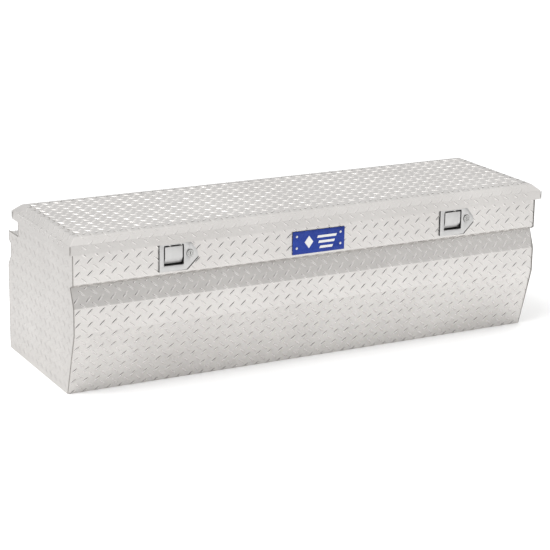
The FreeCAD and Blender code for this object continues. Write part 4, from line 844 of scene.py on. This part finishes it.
def bead(name, points, radius, outward, body):
    """A weld bead: a lumpy flattened run along a path, with ripples, thinner at both ends."""
    flat, wave, uneven, fade_over, per_ripple, sharp_edge = 0.75, 0.16, 0.04, 4.0, 3.0, 70.0
    path = np.array(points, float)
    run = np.concatenate([[0.0], np.cumsum(np.linalg.norm(np.diff(path, axis=0), axis=1))])
    stations = np.arange(0.0, run[-1], BEAD_STEP / per_ripple)
    count = len(stations)
    centre = np.stack([np.interp(stations, run, path[:, k]) for k in range(3)], 1)
    tangent = np.gradient(centre, axis=0)
    tangent /= np.linalg.norm(tangent, axis=1)[:, None]
    side = np.cross(tangent, np.array(outward, float))
    side /= np.linalg.norm(side, axis=1)[:, None]
    up = np.cross(side, tangent)
    ripple = 1.0 + wave * np.cos(stations / BEAD_STEP * 2 * math.pi) + SEED.normal(0, uneven, count)
    verts, faces = [], []
    for i in range(count):
        r = radius * ripple[i] * min(1.0, (i + 1) / fade_over, (count - i) / fade_over)
        for k in range(BEAD_SIDES):
            angle = 2 * math.pi * k / BEAD_SIDES
            verts.append(centre[i] + side[i] * r * math.cos(angle) + up[i] * r * flat * math.sin(angle))
    for i in range(count - 1):
        for k in range(BEAD_SIDES):
            a, b = i * BEAD_SIDES + k, i * BEAD_SIDES + (k + 1) % BEAD_SIDES
            faces.append((a, b, b + BEAD_SIDES, a + BEAD_SIDES))
    faces.append(tuple(range(BEAD_SIDES - 1, -1, -1)))
    faces.append(tuple(range(len(verts) - BEAD_SIDES, len(verts))))
    keep(mesh_object(name, verts, faces, sharp_edge), body, None, "tread_plate", WELD)


def make_body_welds():
    """Weld beads up the four corners of the body, where the sheets meet the end panels."""
    inset, sink, bottom, top = 0.9, 0.4, 1.5, 421.0
    for side, name in ((-1, "left"), (1, "right")):
        x = side * (BODY_HALF - inset)
        front = [(x, y + sink, z) for y, z in FRONT_LINE if z < top] + [(x, BAND_FRONT + sink, top)]
        front[0] = (x, front[0][1], bottom)
        bead(f"corner_weld_front_{name}", front, BODY_BEAD, (side, -1.0, 0.0), "box")
        rear = [(x, y - sink, z) for y, z in REAR_LINE]
        rear[0], rear[-1] = (x, rear[0][1], top), (x, rear[-1][1], bottom)
        bead(f"corner_weld_rear_{name}", rear, BODY_BEAD, (side, 1.0, 0.0), "box")


make_front()
make_rear()
make_end(-1)
make_end(1)
make_body_welds()


# ------------------------------------------------------------------ lid
def plan_ring(inset, z, radius, steps=4):
    """The lid's plan outline with small round corners, as points at one height."""
    x0, x1 = -LID_HALF + inset, LID_HALF - inset
    y0, y1 = LID_FRONT + inset, LID_BACK - inset
    corners = [(x0 + radius, y0 + radius, 180), (x1 - radius, y0 + radius, 270),
               (x1 - radius, y1 - radius, 0), (x0 + radius, y1 - radius, 90)]
    points = []
    for cx, cy, start in corners:
        for k in range(steps + 1):
            angle = math.radians(start + 90.0 * k / steps)
            points.append((cx + radius * math.cos(angle), cy + radius * math.sin(angle), z))
    return points


def make_lid():
    """The lid's skin as one folded sheet with a lip, a bevel and a flat top."""
    flat_edge, inner_corner, least_corner, sharpening = 30, 1.2, 2.2, 0.02
    outer = fillet([(0.0, LIP_LOW), (0.0, LIP_HIGH), (BEVEL, LID_TOP), (BEVEL + flat_edge, LID_TOP)],
                   LID_FOLD)
    inner = offset(outer, -GAUGE)
    rings = [plan_ring(a, z, inner_corner) for a, z in inner[::-1]]
    rings += [plan_ring(a, z, max(least_corner, LID_CORNER - sharpening * a)) for a, z in outer]
    size = len(rings[0])
    verts = [v for ring in rings for v in ring]
    faces = []
    for i in range(len(rings) - 1):
        for k in range(size):
            a, b = i * size + k, i * size + (k + 1) % size
            faces.append((a, b, b + size, a + size))
    faces.append(tuple(range(size)))
    faces.append(tuple(range(len(verts) - size, len(verts))))
    lid = mesh_object("lid_sheet", verts, faces)
    cut(lid, rivet_cutters(LID_RIVET_UP, LID_BACK))
    keep(lid, "lid", "lid_skin", "tread_plate", TREAD, END_SHADED_METAL)
    # painted shade: the lid's faces that face along X take the darker end metal
    pick_faces(lid, lambda face: abs(face.normal.x) > 0.8)
    make_lid_bars(outer)
    make_lid_welds()


def make_lid_bars(outer):
    """Bars over the lid's top, bevel and lip, in one pattern. A bar that crosses the edge of the top's
    field is drawn out onto the bevel. Where both ends of the field are crossed there is no bar."""
    beyond_lid, start_x, start_y = 40, 12.5, 6.0
    end_clear, bevel_end, least_left = 1.0, 0.6, 0.4
    edge = BEVEL + LID_MARGIN
    fold = Profile([(a, z) for a, z in outer[::-1] if a < edge], -1)
    full = fold.run[-1]
    upper_fold = edge - BEVEL
    lower_fold = upper_fold + math.hypot(BEVEL, LID_TOP - LIP_HIGH)
    half_x, y0, y1 = LID_HALF - edge, LID_FRONT + edge, LID_BACK - edge
    reach_x, low_y, high_y = LID_HALF + beyond_lid, LID_FRONT - beyond_lid, LID_BACK + beyond_lid
    top, bevel, lip = [], [], []
    for bar in bars_at(*lattice(-reach_x, reach_x, low_y, high_y, start_x, start_y), LID_BAR_WIDTH):
        x, y, high = bar[:, 0], bar[:, 1], bar[:, 2]
        out_x = np.maximum(np.abs(x) - half_x, 0.0)
        out_y = np.maximum(y0 - y, 0.0) + np.maximum(y - y1, 0.0)
        over_end = out_x.max() > 0
        if over_end and out_y.max() > 0:
            continue
        beyond = np.maximum(out_x, out_y)
        if beyond.max() == 0:
            top.append(np.stack([x, y, LID_TOP + high * LID_TOP_BARS], 1))
            continue
        centre = beyond.mean()
        if centre > lower_fold + LID_MARGIN or (beyond <= full - end_clear).mean() < least_left:
            continue
        on_lip = centre > lower_fold + LID_FOLD
        low_bar = over_end or centre < upper_fold + 1.0
        beyond = np.minimum(beyond, full - end_clear if on_lip else lower_fold + bevel_end)
        a, z, na, nz = fold.at(beyond)
        lift = high * (LID_LIP_BARS if on_lip else LID_FOLD_BARS if low_bar else LID_BEVEL_BARS)
        up = np.where(out_x + out_y > 0, z + nz * lift, LID_TOP + high)
        if over_end:
            across = np.sign(x.mean()) * (LID_HALF - a - na * lift)
            x = np.where(out_x > 0, across, x)
        else:
            base, way = (LID_FRONT, 1.0) if y.mean() < 0 else (LID_BACK, -1.0)
            y = np.where(out_y > 0, base + way * (a + na * lift), y)
        (lip if on_lip else bevel).append(np.stack([x, y, up], 1))
    # painted highlight: the lid top's bars take the lighter copy of the bar metal
    tread("lid_top_tread", top, lambda p: p, "lid", LID_BAR_HIGHLIGHT_METAL)
    tread("lid_edge_tread", bevel, lambda p: p, "lid", BAR_METAL)
    tread("lid_lip_tread", lip, lambda p: p, "lid", TREAD)


def make_lid_welds():
    """Beads up the four corners of the lip."""
    for x, sx in ((-LID_HALF, -1), (LID_HALF, 1)):
        for y, sy in ((LID_FRONT, -1), (LID_BACK, 1)):
            path = [(x - sx, y - sy, z) for z in (LIP_LOW + 1.0, LIP_HIGH - 1.0)]
            name = f"lid_weld_{'right' if sx > 0 else 'left'}_{'front' if sy < 0 else 'rear'}"
            bead(name, path, LID_BEAD, (sx, sy, 0.4), "lid")


make_lid()


# ------------------------------------------------------------------ latches, badge and small parts
def make_latch(name):
    """One latch: plate, paddle, gasket, lock and the plated parts behind. The cup's inside and the
    paddle's top edge take near-black painted shade.
    """
    wall, cup_front, paddle_drop, edge, upward, forward = 1.0, -245.3, 2.2, 2.0, 0.8, -0.9
    centre = LATCH_AT[name]
    housing = softened(f"latch_housing_{name}", f"latch_plate_{name}", 0.5)
    dress(housing, "stainless", STAINLESS, CUP_PAINTED_SHADE)

    def in_cup(face):
        x, y, z = (c / MM for c in face.center)
        within = abs(x - centre) < CUP_HALF - wall and CUP_LOW + wall < z < CUP_HIGH - wall
        return within and y > cup_front and face.normal.z < upward

    # painted shade: the cup's inner faces take the near-black second material
    pick_faces(housing, in_cup)
    paddle = softened(f"latch_paddle_{name}", f"paddle_{name}_shell", 0.9, 3)
    dress(paddle, "stainless", STAINLESS, CUP_PAINTED_SHADE)
    heights = [vertex.co.z for vertex in paddle.data.vertices]
    top, low = max(heights) - edge * MM, min(heights) + edge * MM
    # painted shade: the paddle's top edge takes the near-black material, standing in for the shadow of
    # the gap above it
    pick_faces(paddle, lambda face: face.center.z > top and face.normal.z > upward)
    for vertex in paddle.data.vertices:
        if vertex.co.z < low:
            vertex.co.z -= paddle_drop * MM
    gasket = softened(f"latch_gasket_{name}", f"gasket_{name}_edge", 0.3)
    spread_gasket(gasket, centre)
    dress(gasket, "rubber_seal", RUBBER)
    for node, piece, width in (("lock_barrel", "lock_head", 1.7), ("lock_plug", "lock_face", 0.4)):
        obj = softened(f"{node}_{name}", f"{piece}_{name}", width, 3)
        dress(obj, "chrome_lock", LOCK_METAL, LOCK_RIM_SHADE)
        # painted shade: faces of the lock that do not face forward take the dark copy
        pick_faces(obj, lambda face: face.normal.y >= forward)
    for node in ("latch_bolt", "latch_case", "release_lever", "lock_cam", "striker"):
        dress(softened(f"{node}_{name}", f"{node}_{name}_soft", 0.3), "zinc_steel", PLATED)
    paint(frame["nodes"][f"paddle_pin_{name}"], PLATED)
    make_bolt_spring(name)


def spread_gasket(gasket, centre):
    """Lets the gasket show past the plate, a little on the left and more at the lower right. On the
    left it is the real gasket; the wider dark edge at the lower right is painted shade for the plate's
    shadow.
    """
    left_edge, right_edge, low_corner, left_show, right_shade_show = -39.0, 36.0, 364.0, 0.4, 1.7
    for vertex in gasket.data.vertices:
        across, up = vertex.co.x / MM - centre, vertex.co.z / MM
        if across < left_edge:
            vertex.co.x -= left_show * MM
        elif across > right_edge and up < low_corner:
            vertex.co.x += right_shade_show * MM
            vertex.co.z -= right_shade_show * MM


def make_bolt_spring(name):
    """The bolt's spring: a plated copy of the CAD coil that stays where it is."""
    mesh = frame["nodes"][f"bolt_spring_{name}"].data.copy()
    spring = bpy.data.objects.new(f"bolt_spring_{name}_coil", mesh)
    bpy.context.scene.collection.objects.link(spring)
    shade(spring, SHARP)
    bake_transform(spring)
    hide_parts(f"bolt_spring_{name}")
    dress(spring, "zinc_steel", PLATED)


def make_strut(name):
    """One gas strut with its sockets and brackets."""
    for node, material, slot in (
        ("strut_cylinder", PAINT, "black_paint"), ("strut_lid_socket", PLASTIC, "black_plastic"),
        ("strut_body_socket", PLASTIC, "black_plastic"), ("strut_lid_bracket", PLATED, "zinc_steel"),
        ("strut_body_bracket", PLATED, "zinc_steel"),
    ):
        dress(softened(f"{node}_{name}", f"{node}_{name}_soft", 0.4), slot, material)
    paint(frame["nodes"][f"strut_rod_{name}"], CHROME)
    paint(frame["nodes"][f"strut_piston_{name}"], PLATED)


def make_small_parts():
    """Materials of the CAD nodes that are shown as they are."""
    for node, material in (
        ("floor_panel", PAN_METAL), ("lid_inner_pan", PAN_METAL), ("lid_foam_core", FOAM),
        ("bulb_seal", RUBBER), ("hinge_body_leaf", PAN_METAL), ("hinge_lid_leaf", PAN_METAL),
        ("hinge_pin", PLATED), ("hinge_body_rivets", RIVET), ("hinge_lid_rivets", RIVET),
        ("lock_nuts", PLATED), ("stud_nuts", PLATED), ("striker_screws", PLATED),
        ("strut_lid_ball_studs", PLATED), ("strut_body_ball_studs", PLATED), ("badge_rivets", RIVET),
    ):
        obj = frame["nodes"][node]
        paint(obj, material)
        for polygon in obj.data.polygons:
            polygon.use_smooth = True
        obj.data.set_sharp_from_angle(angle=math.radians(35.0))


def enamel():
    """Blue enamel with a slight orange peel and rubbed patches."""
    n = Surface("badge_enamel")
    cloud = n.noise(40.0, 3.0, 0.5)
    dark, light = (0.004, 0.030, 0.27), (0.010, 0.046, 0.34)
    tone = n.mix("MIX", n.ramp(cloud, [(0.3, 0.0), (0.7, 1.0)]), dark, light)
    rough = n.ramp(n.noise(500.0, 2.0, 0.5), [(0.3, 0.24), (0.7, 0.36)])
    normal = n.bump(n.noise(300.0, 2.0, 0.5), 0.08, 0.0002)
    return n.finish(tone, rough, normal, Specular_IOR_Level=0.3)


def make_badge():
    """A plain blue plate with a raised silver diamond and three raised bars. It has no lettering."""
    rise, slope, sink, lean, bar_half = 0.45, 0.35, 0.05, 3.0, 3.6
    dress(softened("badge_plate", "name_plate", 0.4), "badge_blue", enamel())
    verts, faces = [], []

    def raised(outline):
        """A flat raised shape with sloping sides."""
        count, start = len(outline), len(verts)
        cx = sum(p[0] for p in outline) / count
        cz = sum(p[1] for p in outline) / count
        for x, z in outline:
            verts.append((x, BADGE_FACE + sink, z))
        for x, z in outline:
            shrink = slope / max(1.0, math.hypot(x - cx, z - cz))
            verts.append((x + (cx - x) * shrink, BADGE_FACE - rise, z + (cz - z) * shrink))
        for i in range(count):
            j = (i + 1) % count
            faces.append((start + i, start + j, start + count + j, start + count + i))
        faces.append(tuple(start + count + i for i in range(count)))

    raised([(-46.0, 362.5), (-32.0, 344.0), (-18.0, 362.5), (-32.0, 381.0)])
    for left, right, z in ((-6.0, 56.0, 375.0), (-2.0, 50.0, 359.5), (2.0, 44.0, 344.0)):
        low, high = z - bar_half, z + bar_half
        raised([(left, low), (right, low), (right + lean, high), (left + lean, high)])
    trim = mesh_object("name_plate_trim", verts, faces, 30.0)
    keep(trim, "box", None, "rivet_aluminium", RIVET)


for side_name in ("left", "right"):
    make_latch(side_name)
    make_strut(side_name)
make_small_parts()
make_badge()
